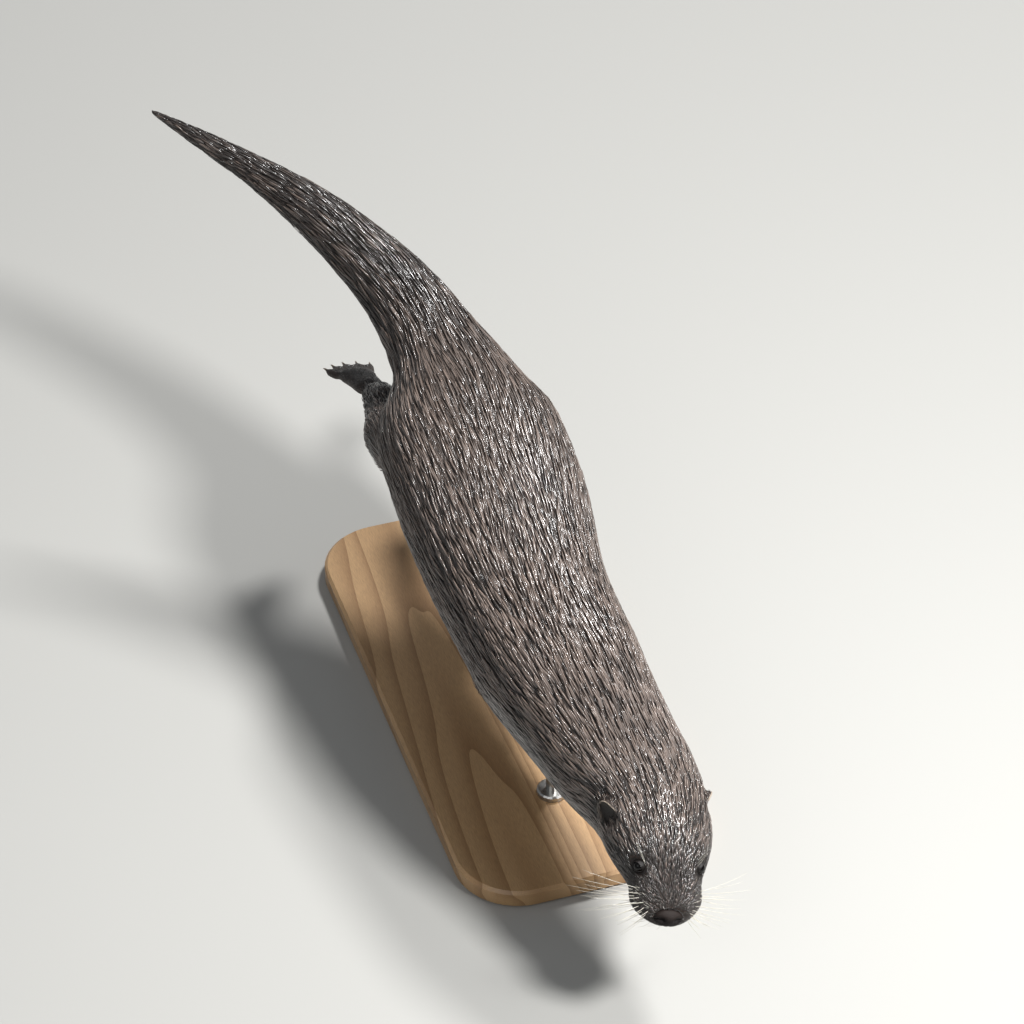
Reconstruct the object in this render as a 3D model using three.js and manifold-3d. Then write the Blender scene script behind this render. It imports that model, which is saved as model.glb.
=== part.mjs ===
// A Eurasian otter swimming under water, life size, held by a plain display stand.
// Millimetres, +Z up, +X towards the nose, +Y to the animal's left.
// The origin is the middle of the stand's underside.
// The solids give the outline of the coat; hairs and whiskers are not part of them.

import * as THREE from "three";
import { mergeVertices } from "three/addons/utils/BufferGeometryUtils.js";
import Module from "manifold-3d";

const wasm = await Module();
wasm.setup();

const GAP = 0.3; // clear space between pieces that touch
const DEGREE = Math.PI / 180;
const LEFT = 1;
const RIGHT = -1;
const WORLD_UP = new THREE.Vector3(0, 0, 1);

// The body line
// The line runs back from the nose tip. Each stretch has a length, a heading
// (degrees towards the animal's left) and a pitch (degrees nose down).

const NOSE_TIP = new THREE.Vector3(453.8, -0.5, 127);

const BODY_LINE = [
  { stretch: "muzzle", length: 54, heading: -17, pitch: 23 },
  { stretch: "crown", length: 54, heading: -9.4, pitch: 21 },
  { stretch: "nape", length: 36, heading: 4, pitch: 17 },
  { stretch: "neck", length: 52, heading: 15, pitch: 12 },
  { stretch: "withers", length: 76, heading: 8.5, pitch: 8.5 },
  { stretch: "chest", length: 118, heading: 3, pitch: 6 },
  { stretch: "ribs", length: 120, heading: -3.5, pitch: 9 },
  { stretch: "loin", length: 105, heading: -1.5, pitch: 14 },
  { stretch: "rump", length: 62, heading: -1, pitch: 19 },
  { stretch: "tailRoot", length: 88, heading: 14.5, pitch: 24 },
  { stretch: "tailOne", length: 68, heading: 27.5, pitch: 22 },
  { stretch: "tailTwo", length: 64, heading: 32.5, pitch: 20 },
  { stretch: "tailThree", length: 58, heading: 38.5, pitch: 18 },
  { stretch: "tailFour", length: 54, heading: 43.5, pitch: 17 },
  { stretch: "tailFive", length: 54, heading: 44, pitch: 16 },
  { stretch: "tailTip", length: 34, heading: 44, pitch: 15 },
];
// The head is tipped over to its left, and the neck takes the twist up.
const HEAD_ROLL = { angle: 12, whole: 110, none: 240 };

function forwardFrom(heading, pitch) {
  const level = Math.cos(pitch * DEGREE);
  return new THREE.Vector3(
    level * Math.cos(heading * DEGREE),
    level * Math.sin(heading * DEGREE),
    -Math.sin(pitch * DEGREE),
  );
}

function walkBody() {
  const points = [NOSE_TIP.clone()];
  for (const { length, heading, pitch } of BODY_LINE) {
    const last = points[points.length - 1];
    points.push(last.clone().addScaledVector(forwardFrom(heading, pitch), -length));
  }
  return new THREE.CatmullRomCurve3(points, false, "centripetal");
}

const bodyLine = walkBody();
bodyLine.arcLengthDivisions = 2000;
const BODY_LENGTH = bodyLine.getLength();

// The frame of the body at a distance back from the nose tip.
function frameAt(back) {
  const u = THREE.MathUtils.clamp(back / BODY_LENGTH, 0, 1);
  const forward = bodyLine.getTangentAt(u).negate();
  const fade = THREE.MathUtils.smoothstep(back, HEAD_ROLL.whole, HEAD_ROLL.none);
  const left = new THREE.Vector3().crossVectors(WORLD_UP, forward).normalize();
  left.applyAxisAngle(forward, -HEAD_ROLL.angle * (1 - fade) * DEGREE);
  const up = new THREE.Vector3().crossVectors(forward, left);
  return { centre: bodyLine.getPointAt(u), forward, left, up };
}

// A point given by its distance back from the nose, to the left and upwards.
function nearBody(back, left, up) {
  const frame = frameAt(back);
  return frame.centre
    .clone()
    .addScaledVector(frame.left, left)
    .addScaledVector(frame.up, up);
}

// Body girth
// Half width, and height above and below the body line, at named places.

const GIRTHS = [
  { place: "nose", back: 0, width: 8, above: 5, below: 5, square: 2 },
  { place: "noseRim", back: 4, width: 16, above: 11, below: 11, square: 2.2 },
  { place: "lip", back: 12, width: 24, above: 15, below: 16.5, square: 2.3 },
  { place: "whiskers", back: 24, width: 30.5, above: 19, below: 22.5, square: 2.3 },
  { place: "bridge", back: 38, width: 32.5, above: 22.5, below: 28, square: 2.3 },
  { place: "eyes", back: 55, width: 38, above: 27, below: 35, square: 2.3 },
  { place: "cheeks", back: 80, width: 46, above: 33, below: 44.5, square: 2.3 },
  { place: "ears", back: 106, width: 51, above: 36.5, below: 52, square: 2.2 },
  { place: "nape", back: 132, width: 55, above: 40.5, below: 57, square: 2.1 },
  { place: "neck", back: 186, width: 63.5, above: 50, below: 63, square: 2 },
  { place: "shoulders", back: 271, width: 70, above: 63, below: 67, square: 2.1 },
  { place: "ribs", back: 389, width: 80, above: 69, below: 74, square: 2.1 },
  { place: "loin", back: 509, width: 92, above: 71, below: 72, square: 2.1 },
  { place: "hips", back: 596, width: 87, above: 67, below: 62, square: 2.1 },
  { place: "rump", back: 646, width: 68.5, above: 58, below: 50, square: 2 },
  { place: "tailRoot", back: 694, width: 51, above: 46, below: 39, square: 2 },
  { place: "tailBase", back: 764, width: 41.5, above: 34, below: 29, square: 2 },
  { place: "tailQuarter", back: 832, width: 35, above: 26.5, below: 22, square: 2 },
  { place: "tailMiddle", back: 896, width: 28.5, above: 21, below: 18.5, square: 2 },
  { place: "tailThin", back: 966, width: 18.5, above: 14, below: 13, square: 2 },
  { place: "tailEnd", back: 1046, width: 9, above: 7, below: 6.5, square: 2 },
  { place: "tailPoint", back: 1096, width: 1.6, above: 1.5, below: 1.5, square: 2 },
];

// Humps and hollows on both sides: centre, reach along and round the body, rise.
// Angles are degrees from the side, up towards the back.
const RELIEF = [
  { place: "whiskerPad", back: 20, along: 11, angle: -14, round: 30, rise: 3.4 },
  { place: "muzzleFlat", back: 26, along: 16, angle: 90, round: 26, rise: -1.6 },
  { place: "chin", back: 15, along: 9, angle: -90, round: 40, rise: -1.5 },
  { place: "eyeHollow", back: 45, along: 8, angle: 24, round: 20, rise: -2.4 },
  { place: "brow", back: 62, along: 9, angle: 46, round: 18, rise: 1.6 },
  { place: "cheekbone", back: 74, along: 20, angle: -16, round: 32, rise: 2.6 },
  { place: "throat", back: 150, along: 50, angle: -46, round: 32, rise: 3 },
  { place: "shoulder", back: 292, along: 46, angle: -14, round: 36, rise: 5 },
  { place: "shoulderBlade", back: 270, along: 40, angle: 52, round: 26, rise: 2.5 },
  { place: "haunch", back: 606, along: 36, angle: -14, round: 34, rise: 5 },
];

function girthAt(back) {
  const last = GIRTHS.length - 1;
  const found = GIRTHS.findIndex((girth) => girth.back >= back);
  const next = found < 0 ? last : Math.max(found, 1);
  const [a, b] = [GIRTHS[next - 1], GIRTHS[next]];
  const before = GIRTHS[Math.max(next - 2, 0)];
  const after = GIRTHS[Math.min(next + 1, last)];
  const span = b.back - a.back;
  const t = THREE.MathUtils.clamp((back - a.back) / span, 0, 1);
  const smooth = (key) => {
    const slopeA = ((b[key] - before[key]) / (b.back - before.back)) * span;
    const slopeB = ((after[key] - a[key]) / (after.back - a.back)) * span;
    const rest = 1 - t;
    return (
      a[key] * rest * rest * (1 + 2 * t) +
      slopeA * t * rest * rest +
      b[key] * t * t * (3 - 2 * t) -
      slopeB * t * t * rest
    );
  };
  return {
    width: smooth("width"),
    above: smooth("above"),
    below: smooth("below"),
    square: smooth("square"),
  };
}

function reliefAt(back, angle) {
  // Both flanks share one angle, measured from the side.
  const side = Math.asin(Math.sin(angle)) / DEGREE;
  let rise = 0;
  for (const hump of RELIEF) {
    const along = (back - hump.back) / hump.along;
    const round = (side - hump.angle) / hump.round;
    rise += hump.rise * Math.exp(-along * along - round * round);
  }
  return rise;
}

const signedPower = (value, power) => Math.sign(value) * Math.abs(value) ** power;

// A point of the coat's surface; angle 0 is the left side and 90 degrees the back.
function skinPoint(back, angle, swell) {
  const { width, above, below, square } = girthAt(back);
  const [across, upward] = [Math.cos(angle), Math.sin(angle)];
  const height = upward > 0 ? above : below;
  const rise = reliefAt(back, angle) + swell;
  const x = width * signedPower(across, 2 / square) + rise * across;
  const z = height * signedPower(upward, 2 / square) + rise * upward;
  return nearBody(back, x, z);
}

// Solid tools

function toManifold(geometry) {
  const bare = geometry.clone();
  bare.deleteAttribute("normal");
  bare.deleteAttribute("uv");
  const merged = mergeVertices(bare, 1e-4);
  return new wasm.Manifold(
    new wasm.Mesh({
      numProp: 3,
      vertProperties: new Float32Array(merged.attributes.position.array),
      triVerts: new Uint32Array(merged.index.array),
    }),
  );
}

function toGeometry(solid) {
  const { vertProperties, numProp, triVerts } = solid.getMesh();
  const count = vertProperties.length / numProp;
  const position = new Float32Array(count * 3);
  for (let i = 0; i < count; i++) {
    position.set(vertProperties.subarray(i * numProp, i * numProp + 3), i * 3);
  }
  const geometry = new THREE.BufferGeometry();
  geometry.setAttribute("position", new THREE.BufferAttribute(position, 3));
  geometry.setIndex(new THREE.BufferAttribute(new Uint32Array(triVerts), 1));
  geometry.computeVertexNormals();
  return geometry;
}

// A closed tube: a cylinder whose rows are placed by a function of (row, angle, radius),
// where radius is 0 at the middle of an end and 1 on the wall.
function placedTube(sides, rows, place) {
  const tube = new THREE.CylinderGeometry(1, 1, rows, sides, rows);
  const position = tube.attributes.position;
  for (let i = 0; i < position.count; i++) {
    const [x, y, z] = [position.getX(i), position.getY(i), position.getZ(i)];
    const row = Math.round(rows / 2 - y);
    const radius = Math.hypot(x, z) > 0.5 ? 1 : 0;
    const angle = Math.round((Math.atan2(z, x) / (2 * Math.PI)) * sides * 2) * (Math.PI / sides);
    const point = place(row, angle, radius);
    position.setXYZ(i, point.x, point.y, point.z);
  }
  return toManifold(tube);
}

// A stretch of the body between two distances from the nose.
function bodyStretch({ from, to, rows, sides }, swell = 0) {
  const start = from - (from > 0 ? swell : 0);
  const length = to + swell - start;
  return placedTube(sides, rows, (row, angle, radius) => {
    // Rows are closer together near the nose, where the outline turns fastest.
    const share = from === 0 ? (row / rows) ** 1.25 : row / rows;
    const back = start + length * share;
    return radius ? skinPoint(back, -angle, swell) : frameAt(back).centre;
  });
}

// A limb, toe or claw along a smooth line through its joints.
// Each joint has a point and half sizes across and through the limb.
function limb(joints, { sides, rows, facing, swell = 0, blunt = 0.06 }) {
  const line = new THREE.CatmullRomCurve3(joints.map((joint) => joint.at), false, "centripetal");
  const spans = joints.length - 1;
  return placedTube(sides, rows, (row, angle, radius) => {
    const t = row / rows;
    const at = line.getPoint(t);
    const along = line.getTangent(t);
    const across = new THREE.Vector3().crossVectors(facing, along).normalize();
    const through = new THREE.Vector3().crossVectors(along, across);
    const index = Math.min(Math.floor(t * spans), spans - 1);
    const share = t * spans - index;
    const ease = share * share * (3 - 2 * share);
    const size = (key) => THREE.MathUtils.lerp(joints[index][key], joints[index + 1][key], ease);
    const end = Math.min(t, 1 - t) / blunt;
    const round = end < 1 ? Math.sqrt(Math.max(1 - (1 - end) ** 2, 0)) * 0.8 + 0.2 : 1;
    return at
      .addScaledVector(across, radius * (size("across") * round + swell) * Math.cos(angle))
      .addScaledVector(through, radius * (size("through") * round + swell) * Math.sin(angle));
  });
}

function movedBy(geometry, matrix) {
  return toManifold(geometry.clone().applyMatrix4(matrix));
}

function joined(solids) {
  return solids.reduce((whole, solid) => whole.add(solid));
}

function largest(solid) {
  const pieces = solid.decompose();
  return pieces.reduce((best, piece) => (piece.volume() > best.volume() ? piece : best));
}

// Head fittings

const EYE = { back: 50, angle: 34, radius: 5.6, sunk: 2.6 };
const NOSE_PAD = { back: 6, up: 4.6, long: 9.5, wide: 14, tall: 8.6 };
const EAR = { back: 106, angle: 14, long: 6.5, wide: 12.5, tall: 16, lean: 58 };
// The hollow of the ear, as shares of the ear's own length, height and width.
const EAR_HOLLOW = { long: 0.8, tall: 0.78, wide: 0.68, forward: 0.6 };

function eyeCentre(side) {
  const angle = (side === LEFT ? EYE.angle : 180 - EYE.angle) * DEGREE;
  const surface = skinPoint(EYE.back, angle, 0);
  const inward = frameAt(EYE.back).centre.clone().sub(surface).normalize();
  return surface.addScaledVector(inward, EYE.sunk);
}

function eyeSolid(side, swell = 0) {
  const ball = new THREE.SphereGeometry(EYE.radius + swell, 12, 8);
  return movedBy(ball, new THREE.Matrix4().setPosition(eyeCentre(side)));
}

function nosePad(swell = 0) {
  const { forward, left, up } = frameAt(NOSE_PAD.back);
  const ball = new THREE.SphereGeometry(1, 16, 10);
  const size = new THREE.Matrix4().makeScale(
    NOSE_PAD.long + swell,
    NOSE_PAD.wide + swell,
    NOSE_PAD.tall + swell,
  );
  const turn = new THREE.Matrix4().makeBasis(forward, left, up);
  turn.setPosition(nearBody(NOSE_PAD.back, 0, NOSE_PAD.up));
  return movedBy(ball, turn.multiply(size));
}

// A small round ear: half a bowl that stands out from the side of the head,
// leans back and opens forwards.
function earSolid(side) {
  const angle = (side === LEFT ? EAR.angle : 180 - EAR.angle) * DEGREE;
  const frame = frameAt(EAR.back);
  const root = skinPoint(EAR.back, angle, -3);
  const outward = root.clone().sub(frame.centre).normalize();
  outward.addScaledVector(frame.forward, -Math.tan(EAR.lean * DEGREE)).normalize();
  const tall = new THREE.Vector3().crossVectors(frame.forward, outward).normalize();
  const front = new THREE.Vector3().crossVectors(outward, tall);
  const place = new THREE.Matrix4().makeBasis(front, outward, tall).setPosition(root);
  const bowl = ({ long, tall, wide, forward }) => {
    const size = new THREE.Matrix4().makeScale(EAR.long * long, EAR.tall * tall, EAR.wide * wide);
    size.setPosition(EAR.long * forward, 0, 0);
    return movedBy(new THREE.SphereGeometry(1, 14, 9), place.clone().multiply(size));
  };
  return bowl({ long: 1, tall: 1, wide: 1, forward: 0 }).subtract(bowl(EAR_HOLLOW));
}

// Legs and feet

// Joints are given by distance back from the nose, outwards from the middle and upwards.
const FORELEG = {
  shoulder: { back: 280, out: 40, up: -24, across: 23, through: 20 },
  elbow: { back: 330, out: 42, up: -60, across: 17, through: 16 },
  forearm: { back: 360, out: 44, up: -76, across: 14.5, through: 12.5 },
  wrist: { back: 394, out: 41, up: -84, across: 11.5, through: 9.5 },
};
const HIND_LEG = {
  hip: { back: 594, out: 52, up: -18, across: 35, through: 40 },
  knee: { back: 628, out: 66, up: -30, across: 29, through: 35 },
  shank: { back: 674, out: 61, up: -43, across: 20, through: 22 },
  heel: { back: 704, out: 55, up: -59, across: 15.5, through: 11.5 },
};
// The left hind leg is drawn forward and held lower than the right.
const HIND_SHIFT = { [LEFT]: { back: -30, out: -2, up: -10 }, [RIGHT]: { back: 0, out: 0, up: 0 } };

const FORE_FOOT = {
  sole: 32, heelWide: 11, toeWide: 17.5, thick: 7.5, web: 4,
  toes: [20, 26, 28, 26, 19], splay: 9, toeRadius: 4.4, claw: 6.5,
};
const HIND_FOOT = {
  sole: 60, heelWide: 15, toeWide: 20, thick: 8, web: 4,
  toes: [27, 36, 41, 41, 35], splay: 8, toeRadius: 4.7, claw: 6.5,
};

function jointsOf(leg, side, shift) {
  return Object.values(leg).map(({ back, out, up, across, through }) => ({
    at: nearBody(back + shift.back, side * (out + shift.out), up + shift.up),
    across,
    through,
  }));
}

// A foot in its own frame: +X to the toes, +Y to its left, +Z out of its upper side.
function footPieces(foot) {
  const middle = (foot.toes.length - 1) / 2;
  const top = new THREE.Vector3(0, 0, 1);
  const point = (x, y, z) => new THREE.Vector3(x, y, z);
  const sole = limb(
    [
      { at: point(-6, 0, 0), across: foot.heelWide, through: foot.thick + 1.5 },
      { at: point(foot.sole * 0.5, 0, 0), across: foot.heelWide + 1.5, through: foot.thick },
      { at: point(foot.sole, 0, -0.5), across: foot.toeWide, through: foot.thick },
      { at: point(foot.sole + 9, 0, -1), across: foot.toeWide - 3, through: foot.thick - 2 },
    ],
    { sides: 10, rows: 5, facing: top, blunt: 0.12 },
  );
  const toes = [];
  const claws = [];
  const tips = [];
  foot.toes.forEach((length, index) => {
    const turn = (index - middle) * foot.splay * DEGREE;
    const along = point(Math.cos(turn), Math.sin(turn), 0);
    const root = point(foot.sole - 5, (index - middle) * foot.toeWide * 0.38, -0.5);
    const out = (distance, rise) => root.clone().addScaledVector(along, distance).add(point(0, 0, rise));
    const reach = length + 5;
    toes.push(
      limb(
        [
          { at: out(0, 0), across: foot.toeRadius, through: foot.toeRadius },
          { at: out(reach * 0.55, 1.5), across: foot.toeRadius - 0.6, through: foot.toeRadius - 0.4 },
          { at: out(reach, -0.5), across: foot.toeRadius - 0.4, through: foot.toeRadius - 0.9 },
        ],
        { sides: 6, rows: 3, facing: top, blunt: 0.2 },
      ),
    );
    tips.push(out(reach * 0.84, -0.5));
    const claw = (swell) =>
      limb(
        [
          { at: out(reach - 3.5, 1.4), across: 1.5, through: 2 },
          { at: out(reach + foot.claw * 0.4, 1.1), across: 1.2, through: 1.6 },
          { at: out(reach + foot.claw, -1.6), across: 0.35, through: 0.4 },
        ],
        { sides: 4, rows: 2, facing: top, swell, blunt: 0.02 },
      );
    claws.push(claw);
  });
  return { sole, toes, claws, web: webBetween(tips, foot) };
}

// The web: a flat fan from the sole to the toe tips, scalloped between them.
function webBetween(tips, foot) {
  const outline = new THREE.Shape();
  outline.moveTo(foot.sole * 0.72, -foot.toeWide * 0.5);
  outline.lineTo(tips[0].x, tips[0].y);
  for (let i = 1; i < tips.length; i++) {
    const between = tips[i - 1].clone().add(tips[i]).multiplyScalar(0.5);
    outline.quadraticCurveTo(between.x - 7, between.y, tips[i].x, tips[i].y);
  }
  outline.lineTo(foot.sole * 0.72, foot.toeWide * 0.5);
  outline.closePath();
  const sheet = new THREE.ExtrudeGeometry(outline, {
    depth: foot.web,
    bevelEnabled: false,
    curveSegments: 2,
  });
  return toManifold(sheet.translate(0, 0, -foot.web / 2 - 0.6));
}

// Places a foot: its heel, the way its toes point and the way its upper side faces.
function footMatrix(heel, toward, facing) {
  const forward = toward.clone().normalize();
  const left = new THREE.Vector3().crossVectors(facing, forward).normalize();
  const up = new THREE.Vector3().crossVectors(forward, left);
  return new THREE.Matrix4().makeBasis(forward, left, up).setPosition(heel);
}

function moved(solid, matrix) {
  return toManifold(toGeometry(solid).applyMatrix4(matrix));
}

// Display stand

const STAND = {
  long: 560, wide: 250, thick: 20, corner: 60, edge: 3,
  rod: 6, collar: 15, collarThick: 6, grip: 26,
  frontBack: 306, rearBack: 556,
};

function standBase() {
  const [x, y] = [STAND.long / 2 - STAND.edge, STAND.wide / 2 - STAND.edge];
  const r = STAND.corner;
  const outline = new THREE.Shape();
  outline.moveTo(-x + r, -y);
  outline.lineTo(x - r, -y);
  outline.absarc(x - r, -y + r, r, -Math.PI / 2, 0, false);
  outline.absarc(x - r, y - r, r, 0, Math.PI / 2, false);
  outline.absarc(-x + r, y - r, r, Math.PI / 2, Math.PI, false);
  outline.absarc(-x + r, -y + r, r, Math.PI, 1.5 * Math.PI, false);
  const plate = new THREE.ExtrudeGeometry(outline, {
    depth: STAND.thick - 2 * STAND.edge,
    bevelThickness: STAND.edge,
    bevelSize: STAND.edge,
    bevelSegments: 1,
    curveSegments: 6,
  });
  return toManifold(plate.translate(0, 0, STAND.edge));
}

function rodAt(back, swell = 0) {
  const { centre, up } = frameAt(back);
  const { below } = girthAt(back);
  const foot = STAND.thick + STAND.collarThick;
  const top = centre.z - below + STAND.grip;
  const radius = STAND.rod + swell;
  const rod = new THREE.CylinderGeometry(radius, radius, top - foot + 2 * swell, 16);
  rod.rotateX(Math.PI / 2);
  rod.translate(centre.x - up.x * below, centre.y, (top + foot) / 2);
  return toManifold(rod);
}

function rodWithCollar(back) {
  const { centre, up } = frameAt(back);
  const { below } = girthAt(back);
  const profile = [
    new THREE.Vector2(0, 0),
    new THREE.Vector2(STAND.collar, 0),
    new THREE.Vector2(STAND.collar, STAND.collarThick - 1.5),
    new THREE.Vector2(STAND.collar - 1.5, STAND.collarThick),
    new THREE.Vector2(0, STAND.collarThick),
  ];
  const collar = new THREE.LatheGeometry(profile, 20);
  collar.rotateX(Math.PI / 2);
  collar.translate(centre.x - up.x * below, centre.y, STAND.thick + GAP);
  return rodAt(back).add(toManifold(collar));
}

// The parts

const STRETCHES = {
  head: { from: 0, to: 128, rows: 17, sides: 26 },
  neck: { from: 128, to: 238, rows: 5, sides: 24 },
  chest: { from: 238, to: 398, rows: 6, sides: 24 },
  loin: { from: 398, to: 554, rows: 6, sides: 24 },
  rump: { from: 554, to: 696, rows: 8, sides: 24 },
  tail_base: { from: 696, to: 832, rows: 6, sides: 18 },
  tail_middle: { from: 832, to: 966, rows: 6, sides: 14 },
  tail_tip: { from: 966, to: 1096, rows: 6, sides: 10 },
};

const coat = (colour) => new THREE.MeshStandardMaterial({ color: colour, roughness: 0.5, metalness: 0 });
const MATERIALS = {
  backCoat: coat(0x55463d),
  headCoat: coat(0x5b4b42),
  limbCoat: coat(0x4b3d35),
  ear: coat(0x5f4e43),
  eye: new THREE.MeshStandardMaterial({ color: 0x0c0908, roughness: 0.05, metalness: 0 }),
  noseLeather: new THREE.MeshStandardMaterial({ color: 0x1f1b1b, roughness: 0.45, metalness: 0 }),
  claw: new THREE.MeshStandardMaterial({ color: 0x3a2f29, roughness: 0.4, metalness: 0 }),
  wood: new THREE.MeshStandardMaterial({ color: 0xb08a5f, roughness: 0.5, metalness: 0 }),
  steel: new THREE.MeshStandardMaterial({ color: 0xb9bbbd, roughness: 0.3, metalness: 1 }),
};

const otter = new THREE.Group();
otter.name = "otter";

function addPart(name, solid, material) {
  const mesh = new THREE.Mesh(toGeometry(largest(solid)), material);
  mesh.name = name;
  otter.add(mesh);
}

const rods = joined([rodAt(STAND.frontBack, GAP), rodAt(STAND.rearBack, GAP)]);

function addBody() {
  for (const [name, stretch] of Object.entries(STRETCHES)) {
    const tail = name.startsWith("tail");
    const cut = stretch.to < BODY_LENGTH - 5 ? { ...stretch, to: stretch.to - GAP } : stretch;
    let solid = bodyStretch(cut);
    if (name === "head") {
      for (const side of [LEFT, RIGHT]) {
        solid = solid.subtract(eyeSolid(side, GAP));
      }
      solid = solid.subtract(nosePad(GAP));
    } else if (!tail) {
      solid = solid.subtract(rods);
    }
    addPart(name, solid, name === "head" ? MATERIALS.headCoat : MATERIALS.backCoat);
  }
}

function addHeadFittings() {
  const head = joined([bodyStretch(STRETCHES.head, GAP), bodyStretch(STRETCHES.neck, GAP)]);
  addPart("nose_pad", nosePad(), MATERIALS.noseLeather);
  for (const side of [LEFT, RIGHT]) {
    const name = side === LEFT ? "left" : "right";
    addPart(`eye_${name}`, eyeSolid(side), MATERIALS.eye);
    addPart(`ear_${name}`, earSolid(side).subtract(head), MATERIALS.ear);
  }
}

function addLeg({ name, leg, foot, side, shift, toward, facing, bodyNear, sides }) {
  const joints = jointsOf(leg, side, shift);
  const last = joints[joints.length - 1];
  const heel = last.at;
  joints.push({ ...last, at: heel.clone().addScaledVector(toward, 12) });
  const body = joined(bodyNear.map((part) => bodyStretch(STRETCHES[part], GAP)));
  const upDirection = frameAt(leg === FORELEG ? FORELEG.elbow.back : HIND_LEG.knee.back).up;
  const matrix = footMatrix(heel, toward, facing);
  const { sole, toes, claws, web } = footPieces(foot);
  const wristCut = footCut(matrix);
  const upper = limb(joints, { sides, rows: 7, facing: upDirection, blunt: 0.05 });
  let paw = moved(joined([sole, web, ...toes]), matrix);
  claws.forEach((claw, index) => {
    paw = paw.subtract(moved(claw(GAP), matrix));
    addPart(`${name}_claw_${index + 1}`, moved(claw(0), matrix), MATERIALS.claw);
  });
  paw = paw.subtract(body).intersect(wristCut.foot);
  addPart(`${name}_foot`, paw, MATERIALS.limbCoat);
  const shank = upper.subtract(body).subtract(wristCut.spread).subtract(paw);
  addPart(`${name}_leg`, shank, MATERIALS.limbCoat);
}

// A half space ahead of the heel, and the same one grown by the gap.
function footCut(matrix) {
  const half = (swell) => {
    const block = new THREE.BoxGeometry(200 + swell, 120, 90);
    block.translate(100 - swell / 2 + 2, 0, 0);
    return movedBy(block, matrix);
  };
  return { foot: half(0), spread: half(GAP * 2) };
}

function addLegs() {
  const none = { back: 0, out: 0, up: 0 };
  for (const side of [LEFT, RIGHT]) {
    const word = side === LEFT ? "left" : "right";
    addLeg({
      name: `fore_${word}`,
      leg: FORELEG,
      foot: FORE_FOOT,
      side,
      shift: none,
      toward: new THREE.Vector3(-0.98, side * -0.03, 0.14),
      facing: new THREE.Vector3(0.1, side * 0.25, -0.96),
      bodyNear: ["neck", "chest", "loin"],
      sides: 14,
    });
    addLeg({
      name: `hind_${word}`,
      leg: HIND_LEG,
      foot: HIND_FOOT,
      side,
      shift: HIND_SHIFT[side],
      toward: new THREE.Vector3(-0.94, side * 0.07, -0.33),
      facing: new THREE.Vector3(-0.36, side * 0.15, -0.92),
      bodyNear: ["loin", "rump", "tail_base"],
      sides: 16,
    });
  }
}

function addStand() {
  addPart("stand_base", standBase(), MATERIALS.wood);
  addPart("stand_rod_front", rodWithCollar(STAND.frontBack), MATERIALS.steel);
  addPart("stand_rod_rear", rodWithCollar(STAND.rearBack), MATERIALS.steel);
}

addBody();
addHeadFittings();
addLegs();
addStand();

export default otter;
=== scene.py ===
import math

import bmesh
import bpy
import numpy as np
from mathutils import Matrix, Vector
from mathutils.bvhtree import BVHTree
from mathutils.kdtree import KDTree


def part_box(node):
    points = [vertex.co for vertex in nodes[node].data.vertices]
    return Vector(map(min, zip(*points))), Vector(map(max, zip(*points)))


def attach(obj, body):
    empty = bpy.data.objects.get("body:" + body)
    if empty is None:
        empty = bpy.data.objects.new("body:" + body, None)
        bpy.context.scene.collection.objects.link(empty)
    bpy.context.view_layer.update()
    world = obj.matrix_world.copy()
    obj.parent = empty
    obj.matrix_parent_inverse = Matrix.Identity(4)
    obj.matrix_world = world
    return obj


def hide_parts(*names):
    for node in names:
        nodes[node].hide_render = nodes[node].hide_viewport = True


# A swimming otter on a plain stand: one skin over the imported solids, a coat of
# overlapping locks grown on it, then eyes, nose, claws, whiskers, stand and light.
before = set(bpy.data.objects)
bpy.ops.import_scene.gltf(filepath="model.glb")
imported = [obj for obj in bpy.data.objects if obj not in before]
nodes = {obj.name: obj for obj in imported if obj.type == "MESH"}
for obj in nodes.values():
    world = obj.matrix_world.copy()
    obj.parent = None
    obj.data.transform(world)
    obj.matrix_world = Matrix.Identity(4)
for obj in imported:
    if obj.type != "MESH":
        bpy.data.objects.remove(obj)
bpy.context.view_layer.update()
mm = 0.001


# Small helpers

def linear(hexColour):
    # sRGB hex to the linear colour that a shader reads
    channels = [int(hexColour[i:i + 2], 16) / 255 for i in (1, 3, 5)]
    made = [c / 12.92 if c <= 0.04045 else ((c + 0.055) / 1.055) ** 2.4 for c in channels]
    return (*made, 1.0)


def addNode(tree, kind, settings=None, links=None):
    # settings are the node's own options or its sockets' values, links feed its sockets
    node = tree.nodes.new("ShaderNode" + kind)
    for key, value in (settings or {}).items():
        if isinstance(key, str) and hasattr(node, key):
            setattr(node, key, value)
        else:
            node.inputs[key].default_value = value
    for key, source in (links or {}).items():
        tree.links.new(source, node.inputs[key])
    return node


def newMaterial(name, settings):
    material = bpy.data.materials.new(name)
    material.use_nodes = True
    tree = material.node_tree
    shader = tree.nodes["Principled BSDF"]
    for key, value in settings.items():
        shader.inputs[key].default_value = value
    return material, tree, shader


def drawnNoise(tree, place, scales, settings):
    # noise drawn out along the coordinates, with marks one over each scale long
    drawn = addNode(tree, "Mapping", {"Scale": scales}, {"Vector": place}).outputs[0]
    return addNode(tree, "TexNoise", {"Scale": 1.0, **settings}, {"Vector": drawn}).outputs["Fac"]


def shadeBy(tree, shader, colour, pattern, span, levels):
    # gives the shader the colour, dimmed and lit with a pattern that runs over that span
    ends = dict(zip(("From Min", "From Max", "To Min", "To Max"), (*span, *levels)))
    level = addNode(tree, "MapRange", ends, {"Value": pattern}).outputs["Result"]
    shaded = addNode(tree, "VectorMath", {"operation": "SCALE"}, {0: colour, "Scale": level}).outputs[0]
    tree.links.new(shaded, shader.inputs["Base Color"])


def unit(vectors):
    return vectors / np.maximum(np.linalg.norm(vectors, axis=-1, keepdims=True), 1e-12)


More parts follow.
